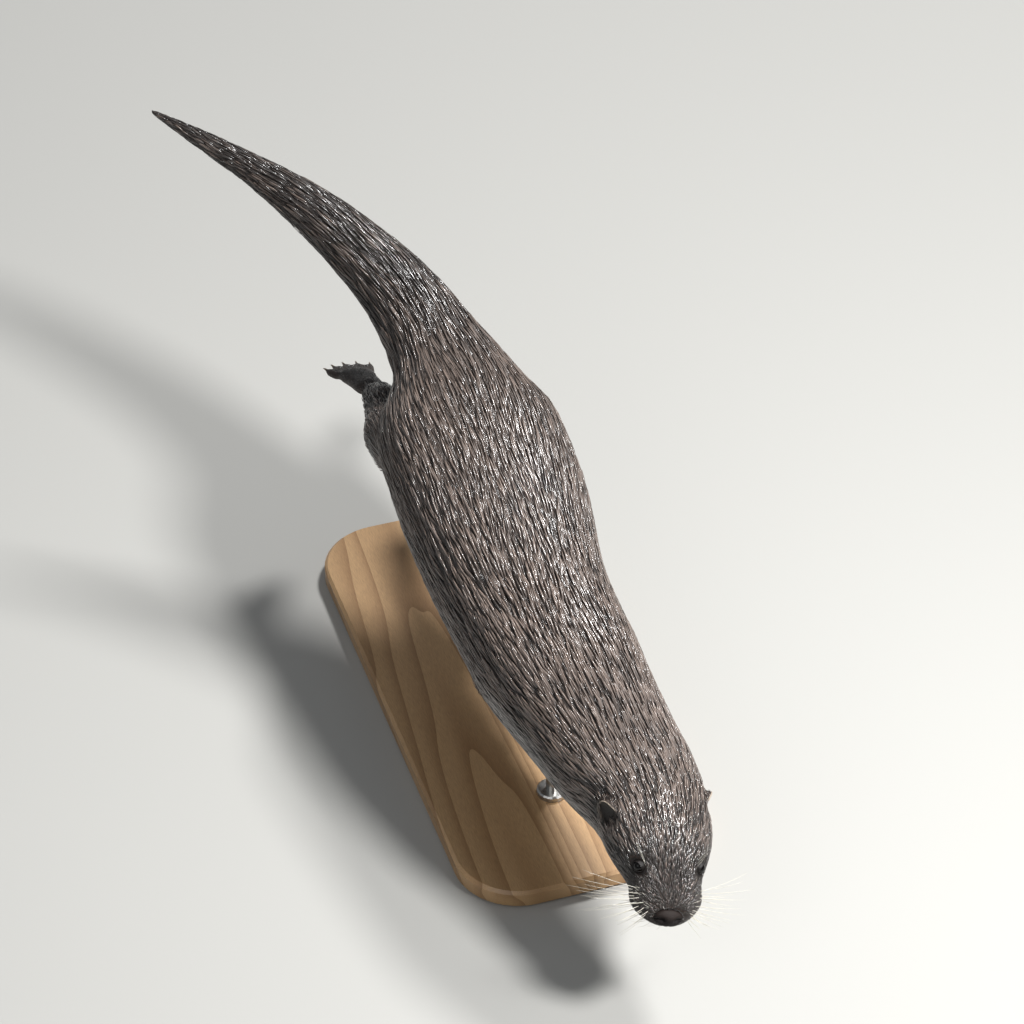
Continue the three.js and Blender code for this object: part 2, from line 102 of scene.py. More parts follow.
def softStep(values, start, end):
    share = np.clip((values - start) / (end - start), 0, 1)
    return share * share * (3 - 2 * share)


def readArray(items, key, width=1, kind=np.int32):
    # one property of many vertices, edges, corners or faces, in rows of that width
    flat = np.empty(len(items) * width, kind)
    items.foreach_get(key, flat)
    return flat.reshape(-1, width) if width > 1 else flat


def bell(values, middle, width):
    return np.exp(-((values - middle) / width) ** 2)


def coordinates(mesh):
    return readArray(mesh.vertices, "co", 3, np.float32).astype(float)


def vertexNormals(mesh):
    return readArray(mesh.vertex_normals, "vector", 3, np.float32).astype(float)


def setCoordinates(mesh, points):
    mesh.vertices.foreach_set("co", points.astype(np.float32).ravel())
    mesh.update()


def meshFrom(shaped, name):
    # a bmesh made a mesh, and freed
    mesh = bpy.data.meshes.new(name)
    shaped.to_mesh(mesh)
    shaped.free()
    return mesh


def mergedNode(name):
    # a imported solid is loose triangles, so a copy of it is merged first
    shaped = bmesh.new()
    shaped.from_mesh(nodes[name].data)
    bmesh.ops.remove_doubles(shaped, verts=shaped.verts, dist=0.01 * mm)
    return shaped


def softenVerts(shaped, verts, rounds):
    for _ in range(rounds):
        bmesh.ops.smooth_vert(shaped, verts=verts, factor=0.5,
                              use_axis_x=True, use_axis_y=True, use_axis_z=True)


def pointTree(points):
    # finds the nearest of the points, by their numbers
    tree = KDTree(len(points))
    for i, point in enumerate(points):
        tree.insert(point, i)
    tree.balance()
    return tree


def newObject(name, data):
    made = bpy.data.objects.new(name, data)
    bpy.context.scene.collection.objects.link(made)
    return made


def appliedMesh(piece):
    # the mesh with its modifiers applied, put back on the piece
    bpy.context.view_layer.update()
    evaluated = piece.evaluated_get(bpy.context.evaluated_depsgraph_get())
    made = bpy.data.meshes.new_from_object(evaluated)
    piece.modifiers.clear()
    old = piece.data
    piece.data = made
    bpy.data.meshes.remove(old)
    return made


def paint(piece, material):
    piece.data.materials.clear()
    piece.data.materials.append(material)


def keepPiece(piece, slotName, material, *replaced):
    paint(piece, material)
    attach(piece, "root")
    if replaced:
        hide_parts(*replaced)
    return piece


def middleOf(name):
    low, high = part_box(name)
    return np.array((low + high) / 2)


def nodePoints(name):
    return coordinates(nodes[name].data)


def sideOf(name):
    # 1 for the animal's left, -1 for its right
    return 1 if name.endswith("left") else -1


# Where the animal is

trunkNodes = ["head", "neck", "chest", "loin", "rump", "tail_base", "tail_middle", "tail_tip"]
earNodes = ["ear_left", "ear_right"]
legNodes = [name for name in nodes if name.endswith("_leg")]
footNodes = [name for name in nodes if name.endswith("_foot")]
fleshNodes = trunkNodes + earNodes + legNodes + footNodes
eyeNodes = ["eye_left", "eye_right"]

# the head's own axes, from its eyes, ears and nose
noseMiddle = middleOf("nose_pad")
eyeMiddles = {name: middleOf(name) for name in eyeNodes}
earMiddle = (middleOf("ear_left") + middleOf("ear_right")) / 2
headSide = unit(eyeMiddles["eye_left"] - eyeMiddles["eye_right"])
headForward = noseMiddle - earMiddle
headForward = unit(headForward - headSide * (headForward @ headSide))
headUp = np.cross(headForward, headSide)
headAxes = np.array([headForward, headSide, headUp])


def inHead(points):
    # forward of the nose's middle, to the animal's left, and up
    return (points - noseMiddle) @ headAxes.T


def fromHead(places):
    return places @ headAxes + noseMiddle


def backLine(stepsPerStretch=40):
    # a smooth line from the nose through the middle of each solid to the tail's end, curved
    # by the Catmull-Rom rule, which passes through every stop
    tailPoints = nodePoints("tail_tip")
    tailEnd = tailPoints[np.argmax(np.linalg.norm(tailPoints - middleOf("tail_middle"), axis=1))]
    stops = [noseMiddle] + [middleOf(name) for name in trunkNodes] + [tailEnd]
    stops = np.array([2 * stops[0] - stops[1]] + stops + [2 * stops[-1] - stops[-2]])
    points = []
    for i in range(1, len(stops) - 2):
        before, start, end, after = stops[i - 1:i + 3]
        for t in np.arange(stepsPerStretch) / stepsPerStretch:
            points.append(0.5 * (2 * start + (end - before) * t
                                 + (2 * before - 5 * start + 4 * end - after) * t ** 2
                                 + (3 * start - before - 3 * end + after) * t ** 3))
    points = np.array(points)
    directions = unit(np.gradient(points, axis=0))
    stations = np.concatenate([[0], np.cumsum(np.linalg.norm(np.diff(points, axis=0), axis=1))])
    return points, directions, stations


linePoints, lineDirections, lineStations = backLine()
bodyLength = lineStations[-1]


def alongBody(points, atOnce=4000):
    # for each point: distance back from the nose, the back's direction, and its place in a
    # straightened body, which is what streaks along the coat are drawn in
    nearest = np.concatenate([
        np.argmin(((part[:, None, :] - linePoints[None]) ** 2).sum(2), axis=1)
        for part in np.array_split(points, max(1, len(points) // atOnce))
    ])
    directions = lineDirections[nearest]
    offsets = points - linePoints[nearest]
    stations = lineStations[nearest] + (offsets * directions).sum(1)
    sides = unit(np.cross(directions, [0, 0, 1.0]))
    ups = np.cross(sides, directions)
    straight = np.stack([stations, (offsets * sides).sum(1), (offsets * ups).sum(1)], axis=1)
    return stations, directions, straight


print("1 the packed solids are in place, the body is", round(bodyLength, 3), "m long")


# The skin

skinForm = {
    "grow": 0.4 * mm,          # closes the thin gaps between the solids
    "voxel": 1.5 * mm,
    "trunkRounds": 90,         # rounds of smoothing, which take the facets out
    "headRounds": 14,
    "earRounds": 2,
    "footRounds": 8,
    "legRounds": 40,
    "tipRounds": 8,            # on the tail's last stretch
    "pull": 0.8,               # share of the way to its neighbours' mean that a round moves a point
    "headEnd": (0.1, 0.2),     # metres back from the nose where the head passes into the trunk
    "tailEnd": (0.16, 0.02),   # metres before the tail's end where the trunk's rounds pass to its tip's
    "partBlur": 16,            # rounds that soften where one part passes into the next
    "normalBlur": 6,
    "restoreBlur": 60,         # rounds on the thickness that smoothing takes and that is put back
    "depthBlur": 10,
    "most": 130000,            # triangles after thinning the furred trunk
    "thinLevels": 6,           # steps between the fully thinned trunk and the untouched head
}

# the coat along the body: metres back from the nose, then millimetres
coatForm = {
    "places": (0.0, 0.03, 0.06, 0.10, 0.17, 0.28, 0.45, 0.75, 0.9, 1.0, 1.09),
    "depth": (0.5, 0.6, 0.8, 1.2, 1.9, 2.6, 3.0, 3.0, 2.4, 1.6, 0.4),
    "length": (3.5, 7.5, 13.0, 20.0, 27.0, 34.0, 42.0, 42.0, 30.0, 20.0, 10.0),
    "width": (0.75, 0.95, 1.2, 1.25, 1.3, 1.4, 1.55, 1.55, 1.45, 1.3, 1.1),
    "spacing": (0.85, 1.0, 1.25, 1.4, 1.55, 1.75, 1.95, 1.95, 1.85, 1.65, 1.3),
    # depth, length, width and spacing of the other parts, in millimetres
    "leg": (1.6, 10.5, 1.3, 1.65),
    "foot": (0.3, 3.2, 0.7, 1.15),
    "ear": (0.15, 2.6, 0.55, 0.9),
}


def edgesOf(mesh):
    edges = readArray(mesh.edges, "vertices", 2)
    degree = np.bincount(edges.ravel(), minlength=len(mesh.vertices)).astype(float)
    return edges, np.maximum(degree, 1)


def neighbourMean(values, edges, degree):
    count = len(values)
    sums = [np.bincount(edges[:, 0], column[edges[:, 1]], count)
            + np.bincount(edges[:, 1], column[edges[:, 0]], count) for column in values.T]
    return np.stack(sums, axis=1) / degree[:, None]


def spread(values, edges, degree, rounds):
    # a field over the skin, blurred
    made = values.reshape(len(values), -1)
    for _ in range(rounds):
        made = 0.5 * made + 0.5 * neighbourMean(made, edges, degree)
    return made.reshape(values.shape)


def nearestSolids(points):
    # the number, in fleshNodes, of the solid that each point is nearest to
    corners = [nodePoints(name) for name in fleshNodes]
    owners = np.concatenate([np.full(len(part), i) for i, part in enumerate(corners)])
    tree = pointTree(np.concatenate(corners))
    return owners[[tree.find(point)[1] for point in points]]


def partMasks(owners):
    # shares for leg, foot and ear
    kinds = (legNodes, footNodes, earNodes)
    numbers = [[fleshNodes.index(name) for name in kind] for kind in kinds]
    return np.stack([np.isin(owners, kind) for kind in numbers], axis=1).astype(float)


def coatValue(key, stations, masks):
    # a coat size at each point, in metres
    column = ["depth", "length", "width", "spacing"].index(key)
    made = np.interp(stations, coatForm["places"], coatForm[key])
    for share, part in zip(masks.T, ("leg", "foot", "ear")):
        made = made * (1 - share) + coatForm[part][column] * share
    return made * mm


def joinedFlesh():
    joined = bmesh.new()
    for name in fleshNodes + eyeNodes:
        part = mergedNode(name)
        part.normal_update()
        for vertex in part.verts:
            vertex.co += vertex.normal * skinForm["grow"]
        mesh = meshFrom(part, name + "_copy")
        joined.from_mesh(mesh)
        bpy.data.meshes.remove(mesh)
    return meshFrom(joined, "skin")


def smoothSkin(mesh):
    points = coordinates(mesh)
    edges, degree = edgesOf(mesh)
    stations, _, _ = alongBody(points)
    masks = spread(partMasks(nearestSolids(points)), edges, degree, skinForm["partBlur"])
    head, trunk, tip = (skinForm[key] for key in ("headRounds", "trunkRounds", "tipRounds"))
    places = [*skinForm["headEnd"], *(bodyLength - reach for reach in skinForm["tailEnd"])]
    rounds = np.interp(stations, places, [head, trunk, trunk, tip])
    for share, key in zip(masks.T, ("legRounds", "footRounds", "earRounds")):
        rounds = rounds * (1 - share) + skinForm[key] * share
    faceted = points.copy()
    for turn in range(int(rounds.max())):
        amount = skinForm["pull"] * np.clip(rounds - turn, 0, 1)[:, None]
        points += amount * (neighbourMean(points, edges, degree) - points)
    setCoordinates(mesh, points)
    normals = unit(spread(vertexNormals(mesh), edges, degree, skinForm["normalBlur"]))
    # smoothing thins the body, which is put right without bringing the facets back
    lost = spread(((faceted - points) * normals).sum(1), edges, degree, skinForm["restoreBlur"])
    points += normals * (lost * softStep(stations, *skinForm["headEnd"]))[:, None]
    # the skin lies under the coat's tips by the coat's depth
    depth = spread(coatValue("depth", stations, masks), edges, degree, skinForm["depthBlur"])
    setCoordinates(mesh, points - normals * depth[:, None])
    return stations, masks


def thinSkin(piece, stations, masks):
    # the trunk, which the coat hides, gets larger triangles than the head and feet
    group = piece.vertex_groups.new(name="furred")
    hidden = np.clip(softStep(stations, *skinForm["headEnd"]) - masks[:, 1:].max(1), 0, 1)
    halfStep = 0.5 / (skinForm["thinLevels"] - 1)
    for level in np.linspace(0, 1, skinForm["thinLevels"]):
        chosen = np.flatnonzero(np.abs(hidden - level) <= halfStep)
        group.add(chosen.tolist(), float(level), "REPLACE")
    modifier = piece.modifiers.new("thin", "DECIMATE")
    modifier.vertex_group = "furred"
    modifier.ratio = skinForm["most"] / (2 * len(piece.data.polygons))
    modifier.use_collapse_triangulate = True
    appliedMesh(piece)
    piece.vertex_groups.clear()


skin = newObject("skin", joinedFlesh())
remesh = skin.modifiers.new("remesh", "REMESH")
remesh.mode = "VOXEL"
remesh.voxel_size = skinForm["voxel"]
appliedMesh(skin)
print("2 skin remeshed,", len(skin.data.vertices), "vertices")
skinStations, skinMasks = smoothSkin(skin.data)
thinSkin(skin, skinStations, skinMasks)
print("3 skin smoothed and thinned,", len(skin.data.polygons), "faces")


# The face, shaped in the skin

fineForm = {
    "nose": 46 * mm,           # round the nose and the ears, one finer step of triangles
    "ear": 16 * mm,
    "eye": 12 * mm,            # round each eye, two finer steps
    "softReach": 60 * mm, "softRounds": 2,
}
lidForm = {
    "out": (0.44, 0.7, 0.56),  # the way an eye looks: forward, to its own side, up
    "thick": 0.45 * mm,
    "rim": 0.3 * mm,
    "slitLong": 5.2 * mm,      # half the opening's length and height
    "slitTall": 3.6 * mm,
    "slitTurn": 48,            # degrees that the front corner lies inwards
    "slitPower": 1.7,          # 2 is an ellipse, less gives the opening corners
    # middle and width of the rim and the crease, then the stretch where the bare lids pass
    # into fur, all in sizes of the opening
    "rimAt": (1.12, 0.16),
    "creaseAt": (1.75, 0.14),
    "bareTo": (1.65, 2.15),
    "creaseDeep": 0.35 * mm,
    "fade": (0.86, 1.25),      # where the lids pass into the face, in sizes of the eyeball
    "face": 0.4,               # share of the face's own height that the lids keep at least
    "pocket": 2.0 * mm,        # how far behind the eye's middle the skin passes
    "behind": 4 * mm,          # skin further behind the eye's middle is left alone
}
mouthForm = {
    "deep": 1.3 * mm,
    "wide": 0.9 * mm,
    "long": 36 * mm,           # from the nose back to the corner of the mouth
    "corner": 0.8,             # share of the length at which the line is full
    "down": 10.5 * mm,         # under the nose's middle
    "slope": 0.1,              # how much lower it lies for each step back
    # the line ends where the skin faces up or down
    "upper": (-0.75, -0.45),
    "under": (-0.97, -0.85),
    "lip": (0.4, 2.2),         # height of the lips and distance from the line, as shares
    "bareFrom": (0.3, 0.6),
}
earForm = {
    "raise": 6,                # millimetres up, in the way out from the head
    "lean": 58,                # degrees that the ear leans back
    "deep": 3.6 * mm,          # of the bowl that the ear makes
    "thick": 1.9 * mm,         # over the ear's back
    "over": 16 * mm,           # how far in front of the bowl its hollow is cleared
    # rise is the height on the ear and reach the way from the bowl's middle to its edge
    "footRise": (-0.3, 0.05),
    "endReach": (1.0, 1.15),
    "wallOver": (0.2 * mm, 1.0 * mm),
    "bareReach": (0.9, 0.97),
    # the bare and pale edge: depth of the skin it takes, and where it starts
    "edgeOver": (-1.8 * mm, -0.8 * mm), "edgeOverTo": 3 * mm,
    "edgeMask": (0.2, 0.5),
    "edgeReach": (0.93, 0.99),
    "edgeRise": (0.2, 0.5),
    # the wall takes a little of the edge's colour only towards the rim, so the deep hollow stays darkest:
    # painted shade
    "wallPale": 0.04,          # how much of the edge's colour the hollow's wall has
    "wallReach": (0.5, 0.9),
    # the upper half of the edge is paler: painted highlight where the light catches the rim
    "edgeLow": 0.3,            # how pale the lower half of the edge is
    "edgeUpper": (0.3, 0.65),
    # painted shade where the hollow starts, which darkens the short fur there
    "startReach": 1.1, "startRise": 0.3, "startOver": 3 * mm,
    "furRise": (0.1, 0.3), "hollowShadeReach": (0.7, 1.1),
}


def eyeFrame(name):
    # middle, radius and axes of an eye: outwards, towards the nose, and up across the slit
    middle = eyeMiddles[name]
    low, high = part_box(name)
    radius = min(high - low) / 2
    side = sideOf(name)
    out = unit(np.array(lidForm["out"]) * (1, side, 1) @ headAxes)
    turn = math.radians(lidForm["slitTurn"])
    front = headForward * math.cos(turn) - headSide * side * math.sin(turn)
    front = unit(front - out * (front @ out))
    up = np.cross(out, front) * -side
    return middle, radius, np.array([out, front, up])


def slitMeasure(local):
    # 1 on the edge of the opening, less inside it
    power = lidForm["slitPower"]
    wide = np.abs(local[:, 1] / lidForm["slitLong"]) ** power
    tall = np.abs(local[:, 2] / lidForm["slitTall"]) ** power
    return (wide + tall) ** (1 / power)


def shapeEye(points, name):
    # opens the skin round the eyeball: a pocket behind it, and lids that hug it
    middle, radius, axes = eyeFrame(name)
    local = (points - middle) @ axes.T
    rho = np.hypot(local[:, 1], local[:, 2])
    height = local[:, 0].copy()
    near = (rho < fineForm["eye"]) & (height > -lidForm["behind"])
    measure = slitMeasure(local)
    lidRadius = radius + lidForm["thick"]
    dome = np.sqrt(np.maximum(lidRadius ** 2 - rho ** 2, 0))
    dome += lidForm["rim"] * bell(measure, *lidForm["rimAt"])
    dome -= lidForm["creaseDeep"] * bell(measure, *lidForm["creaseAt"])
    fade = 1 - softStep(rho, *(lidRadius * share for share in lidForm["fade"]))
    lidded = height + fade * (np.maximum(dome, height * lidForm["face"]) - height)
    local[:, 0] = np.where(near, np.where(measure < 1, -lidForm["pocket"], lidded), height)
    points[near] = (local @ axes + middle)[near]
    return near, measure


def shapeMouth(points, normals):
    # the line between the lips, on both sides of the muzzle
    forward, _, upward = inHead(points).T
    line = -mouthForm["down"] + mouthForm["slope"] * forward
    off = np.abs(upward - line) / mouthForm["wide"]
    share = softStep(forward, -mouthForm["long"], -mouthForm["long"] * mouthForm["corner"])
    facing = normals @ headUp
    share *= softStep(-facing, *mouthForm["upper"]) * softStep(facing, *mouthForm["under"])
    groove = np.exp(-off ** 2) * share
    lipHigh, lipAway = mouthForm["lip"]
    lip = lipHigh * np.exp(-(off - lipAway) ** 2) * share
    points -= normals * (mouthForm["deep"] * (groove - lip))[:, None]
    return groove


def earMeasure(points, name):
    # the way out of an ear's hollow, the height over its inner face, and shares: reach to the
    # edge, rise to the tip, and upper from the lower edge to the upper one
    outward = middleOf(name) - earMiddle
    outward = unit(outward - headForward * (outward @ headForward) + headUp * earForm["raise"] * mm)
    lean = math.radians(earForm["lean"])
    tip = outward * math.cos(lean) - headForward * math.sin(lean)
    hollow = outward * math.sin(lean) + headForward * math.cos(lean)
    axes = np.array([hollow, np.cross(hollow, tip), tip])
    solid = nodePoints(name) @ axes.T
    low, size = solid.min(0), np.ptp(solid, axis=0)
    height, across, rise = (points @ axes.T - low).T
    rise = rise / size[2]
    reach = np.hypot(across * 2 / size[1] - 1, rise)
    back = earForm["deep"] * (1 - np.sqrt(1 - np.minimum(reach, 1) ** 2))
    upper = across / size[1] if sideOf(name) == 1 else 1 - across / size[1]
    return hollow, height - back - earForm["thick"], reach, rise, upper


def shapeEar(points, name):
    # thins the ear to a bowl, open to the front
    hollow, over, reach, rise, _ = earMeasure(points, name)
    share = softStep(rise, *earForm["footRise"]) * (1 - softStep(reach, *earForm["endReach"]))
    share *= over < earForm["over"]
    points -= hollow * (share * np.maximum(over, 0))[:, None]
    # the bare bowl takes the dark bare colour: partly dark skin, partly painted shade in the hollow
    return share * softStep(over, *earForm["wallOver"]) * (1 - softStep(reach, *earForm["bareReach"]))


def refineFace(mesh):
    shaped = bmesh.new()
    shaped.from_mesh(mesh)
    places = [(noseMiddle, fineForm["nose"])]
    places += [(middleOf(name), fineForm["ear"]) for name in earNodes]
    places += [(eyeMiddles[name], fineForm["eye"]) for name in eyeNodes] * 2
    for place, reach in places:
        place = Vector(place)
        near = [edge for edge in shaped.edges
                if (edge.verts[0].co - place).length < reach
                and (edge.verts[1].co - place).length < reach]
        bmesh.ops.subdivide_edges(shaped, edges=near, cuts=1, use_grid_fill=True)
        bmesh.ops.triangulate(shaped, faces=[face for face in shaped.faces if len(face.verts) > 3])
    reach = fineForm["softReach"]
    near = [vertex for vertex in shaped.verts if (vertex.co - Vector(noseMiddle)).length < reach]
    softenVerts(shaped, near, fineForm["softRounds"])
    shaped.to_mesh(mesh)
    shaped.free()


refineFace(skin.data)
facePoints = coordinates(skin.data)
bareSkin = np.zeros(len(facePoints))
for eyeName in eyeNodes:
    nearEye, slit = shapeEye(facePoints, eyeName)
    bareSkin = np.maximum(bareSkin, nearEye * (1 - softStep(slit, *lidForm["bareTo"])))
for earName in earNodes:
    bareSkin = np.maximum(bareSkin, shapeEar(facePoints, earName))
mouthLine = shapeMouth(facePoints, vertexNormals(skin.data))
bareSkin = np.maximum(bareSkin, softStep(mouthLine, *mouthForm["bareFrom"]))
setCoordinates(skin.data, facePoints)
print("4 face shaped,", len(skin.data.polygons), "triangles of skin")


# The lie and the markings of the coat

def rippled(points, wavelength, seed, waves=9, longer=(0.7, 1.5)):
    # a smooth random field from about -1 to 1, with waves of about that length
    made = np.zeros(len(points))
    draw = np.random.default_rng(seed)
    for _ in range(waves):
        way = unit(draw.normal(size=3)) * 2 * math.pi / (wavelength * draw.uniform(*longer))
        made += np.sin(points @ way + draw.uniform(0, 2 * math.pi))
    return made / math.sqrt(waves)


layForm = {
    "earWay": (-0.9, 0.5),                # forward and up
    "maskBlur": 5, "lieBlur": 24, "paleBlur": 4,
    # these places are metres back from the nose
    "headEnd": (0.05, 0.16),              # where rays from the nose pass into the body's line
    "stray": 0.06, "strayLong": 80 * mm,  # slow turns of the lie, in radians
    "strayFrom": (0.03, 0.14),
    # the pale throat, cheeks and belly
    "tippedEnd": (0.11, 0.24),            # where down stops following the tipped head
    "lowerPlaces": (0.0, 0.06, 0.2, 0.36),
    "lower": (0.5, 0.4, 0.05, 0.35),      # how far down the skin faces where the paleness ends
    "lowerEdge": (-0.35, 0.1),
    "bellyLoss": 0.65, "bellyFrom": (0.2, 0.36),
    # the dark patch under each eye, painted shade on the side of the face, and the dark ring round
    # it, partly dark fur and partly painted shade under the brow; in millimetres from the eye's
    # middle: forward, to its own side, up
    "patchMiddle": (5, 3, -6), "patchHalf": (20, 11, 10),
    "ringMiddle": (3, 0, 0), "ringHalf": 11, "ringDark": 1.3,
}
footForm = {
    "toeFrom": 0.3,                       # share of the way to a claw where its toe starts
    "toeHalf": (4.6 * mm, 5.4 * mm),      # half width of a toe, past which the web is bare
    "webFrom": (0.2, 0.4),
    "soleFacing": (0.1, 0.4),
    "toeEnd": (5 * mm, 8 * mm),           # bare round each claw
}


def towards(start, end):
    return unit(middleOf(end) - middleOf(start))


def solidDirections():
    # the way the coat lies on each leg, foot and ear
    ways = {}
    for name in legNodes:
        ways[name] = towards(name, name.replace("_leg", "_foot"))
    for name in footNodes:
        ways[name] = towards(name, name.replace("_foot", "_claw_3"))
    for name in earNodes:
        forward, up = layForm["earWay"]
        ways[name] = unit(headForward * forward + headUp * up)
    return np.array([ways.get(name, np.zeros(3)) for name in fleshNodes])


def clawNames(foot):
    return [foot.replace("_foot", f"_claw_{i}") for i in range(1, 6)]


def clawLine(foot, name, rootFrom=0.8):
    # root and tip of one claw
    points = nodePoints(name)
    tip = points[np.argmax(np.linalg.norm(points - middleOf(foot), axis=1))]
    fromTip = np.linalg.norm(points - tip, axis=1)
    return points[fromTip > rootFrom * fromTip.max()].mean(0), tip


def soleWay(foot):
    # out of the sole
    first, third, fifth = (middleOf(clawNames(foot)[i]) for i in (0, 2, 4))
    way = unit(np.cross(fifth - first, third - middleOf(foot)))
    return -way * np.sign(way[2])


def bareFeet(points, normals, owners):
    # soles, webs and the toes' ends have no fur
    made = np.zeros(len(points))
    for foot in footNodes:
        own = np.flatnonzero(owners == fleshNodes.index(foot))
        offset = points[own] - middleOf(foot)
        toe, end = np.ones(len(own)), np.ones(len(own))
        for name in clawNames(foot):
            way = clawLine(foot, name)[0] - middleOf(foot)
            share = np.clip(offset @ way / (way @ way), footForm["toeFrom"], 1)[:, None]
            toe = np.minimum(toe, np.linalg.norm(offset - share * way, axis=1))
            end = np.minimum(end, np.linalg.norm(offset - way, axis=1))
        way = clawLine(foot, clawNames(foot)[2])[0] - middleOf(foot)
        web = softStep(toe, *footForm["toeHalf"])
        web *= softStep(offset @ way / (way @ way), *footForm["webFrom"])
        under = softStep(normals[own] @ soleWay(foot), *footForm["soleFacing"])
        made[own] = np.max([under, web, 1 - softStep(end, *footForm["toeEnd"])], axis=0)
    return made


def layCoat(mesh):
    # the lie, the masks and the markings at every vertex of the skin
    points = coordinates(mesh)
    normals = vertexNormals(mesh)
    edges, degree = edgesOf(mesh)
    stations, directions, straight = alongBody(points)
    owners = nearestSolids(points)
    masks = spread(partMasks(owners), edges, degree, layForm["maskBlur"])
    headShare = 1 - softStep(stations, *layForm["headEnd"])[:, None]
    lie = unit(points - noseMiddle) * headShare + directions * (1 - headShare)
    ways = solidDirections()[owners]
    own = np.linalg.norm(ways, axis=1, keepdims=True) > 0
    lie = unit(spread(np.where(own, ways, unit(lie)), edges, degree, layForm["lieBlur"]))
    turn = layForm["stray"] * rippled(points, layForm["strayLong"], seed=3)
    turn *= softStep(stations, *layForm["strayFrom"])
    lie = lie * np.cos(turn)[:, None] + np.cross(normals, lie) * np.sin(turn)[:, None]
    lie = unit(lie - normals * (lie * normals).sum(1, keepdims=True))
    # the throat and cheeks are pale, the belly a little paler than the back
    ups = np.cross(unit(np.cross(directions, [0, 0, 1.0])), directions)
    tipped = 1 - softStep(stations, *layForm["tippedEnd"])[:, None]
    facing = (normals * unit(headUp * tipped + ups * (1 - tipped))).sum(1)
    lower = np.interp(stations, layForm["lowerPlaces"], layForm["lower"])
    throat = softStep(-facing, *(lower + edge for edge in layForm["lowerEdge"]))
    throat *= 1 - layForm["bellyLoss"] * softStep(stations, *layForm["bellyFrom"])
    pale = spread(throat * (1 - masks[:, :2].max(1)), edges, degree, layForm["paleBlur"])
    # the fur is darkest round the eyes and under them: partly dark fur, partly painted shade under
    # the brow and on the side of the face
    dark = np.zeros(len(points))
    for name in eyeNodes:
        away = (inHead(points) - inHead(eyeMiddles[name][None])) / mm * (1, sideOf(name), 1)
        patch = np.exp(-(((away - layForm["patchMiddle"]) / layForm["patchHalf"]) ** 2).sum(1))
        ring = np.exp(-((away - layForm["ringMiddle"]) ** 2).sum(1) / layForm["ringHalf"] ** 2)
        dark = np.max([dark, patch, layForm["ringDark"] * ring], axis=0)
    # the ears have a thin, bare and pale edge, partly pale hair and partly painted highlight, and
    # painted shade darkens the short fur where their hollow starts
    edge = np.zeros(len(points))
    bare = bareSkin.copy()
    for name in earNodes:
        _, over, reach, rise, upper = earMeasure(points, name)
        inner = softStep(over, *earForm["edgeOver"]) * (over < earForm["edgeOverTo"])
        inner *= softStep(masks[:, 2], *earForm["edgeMask"])
        thin = earForm["wallPale"] * softStep(reach, *earForm["wallReach"])
        thin += softStep(reach, *earForm["edgeReach"])
        # the edge is palest on its upper half: painted highlight
        lit = earForm["edgeLow"] + (1 - earForm["edgeLow"]) * softStep(upper, *earForm["edgeUpper"])
        inner *= softStep(rise, *earForm["edgeRise"])
        edge = np.maximum(edge, inner * np.minimum(thin, 1) * lit)
        # where the hollow starts, the fur is darkened as painted shade
        start = (reach < earForm["startReach"]) & (rise < earForm["startRise"])
        start &= np.abs(over) < earForm["startOver"]
        bare = np.where(start, bare * softStep(rise, *earForm["furRise"]), bare)
        dark = np.maximum(dark, start * (1 - softStep(reach, *earForm["hollowShadeReach"])))
    bare = np.max([bare, edge, bareFeet(points, normals, owners)], axis=0)
    return {"points": points, "normals": normals, "stations": stations, "straight": straight,
            "owners": owners, "masks": masks, "lie": lie, "pale": pale, "dark": dark,
            "edge": edge, "bare": bare}


def setAttribute(mesh, name, values):
    kind, key = ("FLOAT", "value") if values.ndim == 1 else ("FLOAT_VECTOR", "vector")
    made = mesh.attributes.new(name, kind, "POINT")
    made.data.foreach_set(key, values.astype(np.float32).ravel())


lay = layCoat(skin.data)
for field in ("pale", "bare", "edge", "straight"):
    setAttribute(skin.data, field, lay[field])
setAttribute(skin.data, "foot", lay["masks"][:, 1])
print("5 the lie of the coat is laid out")


# The coat

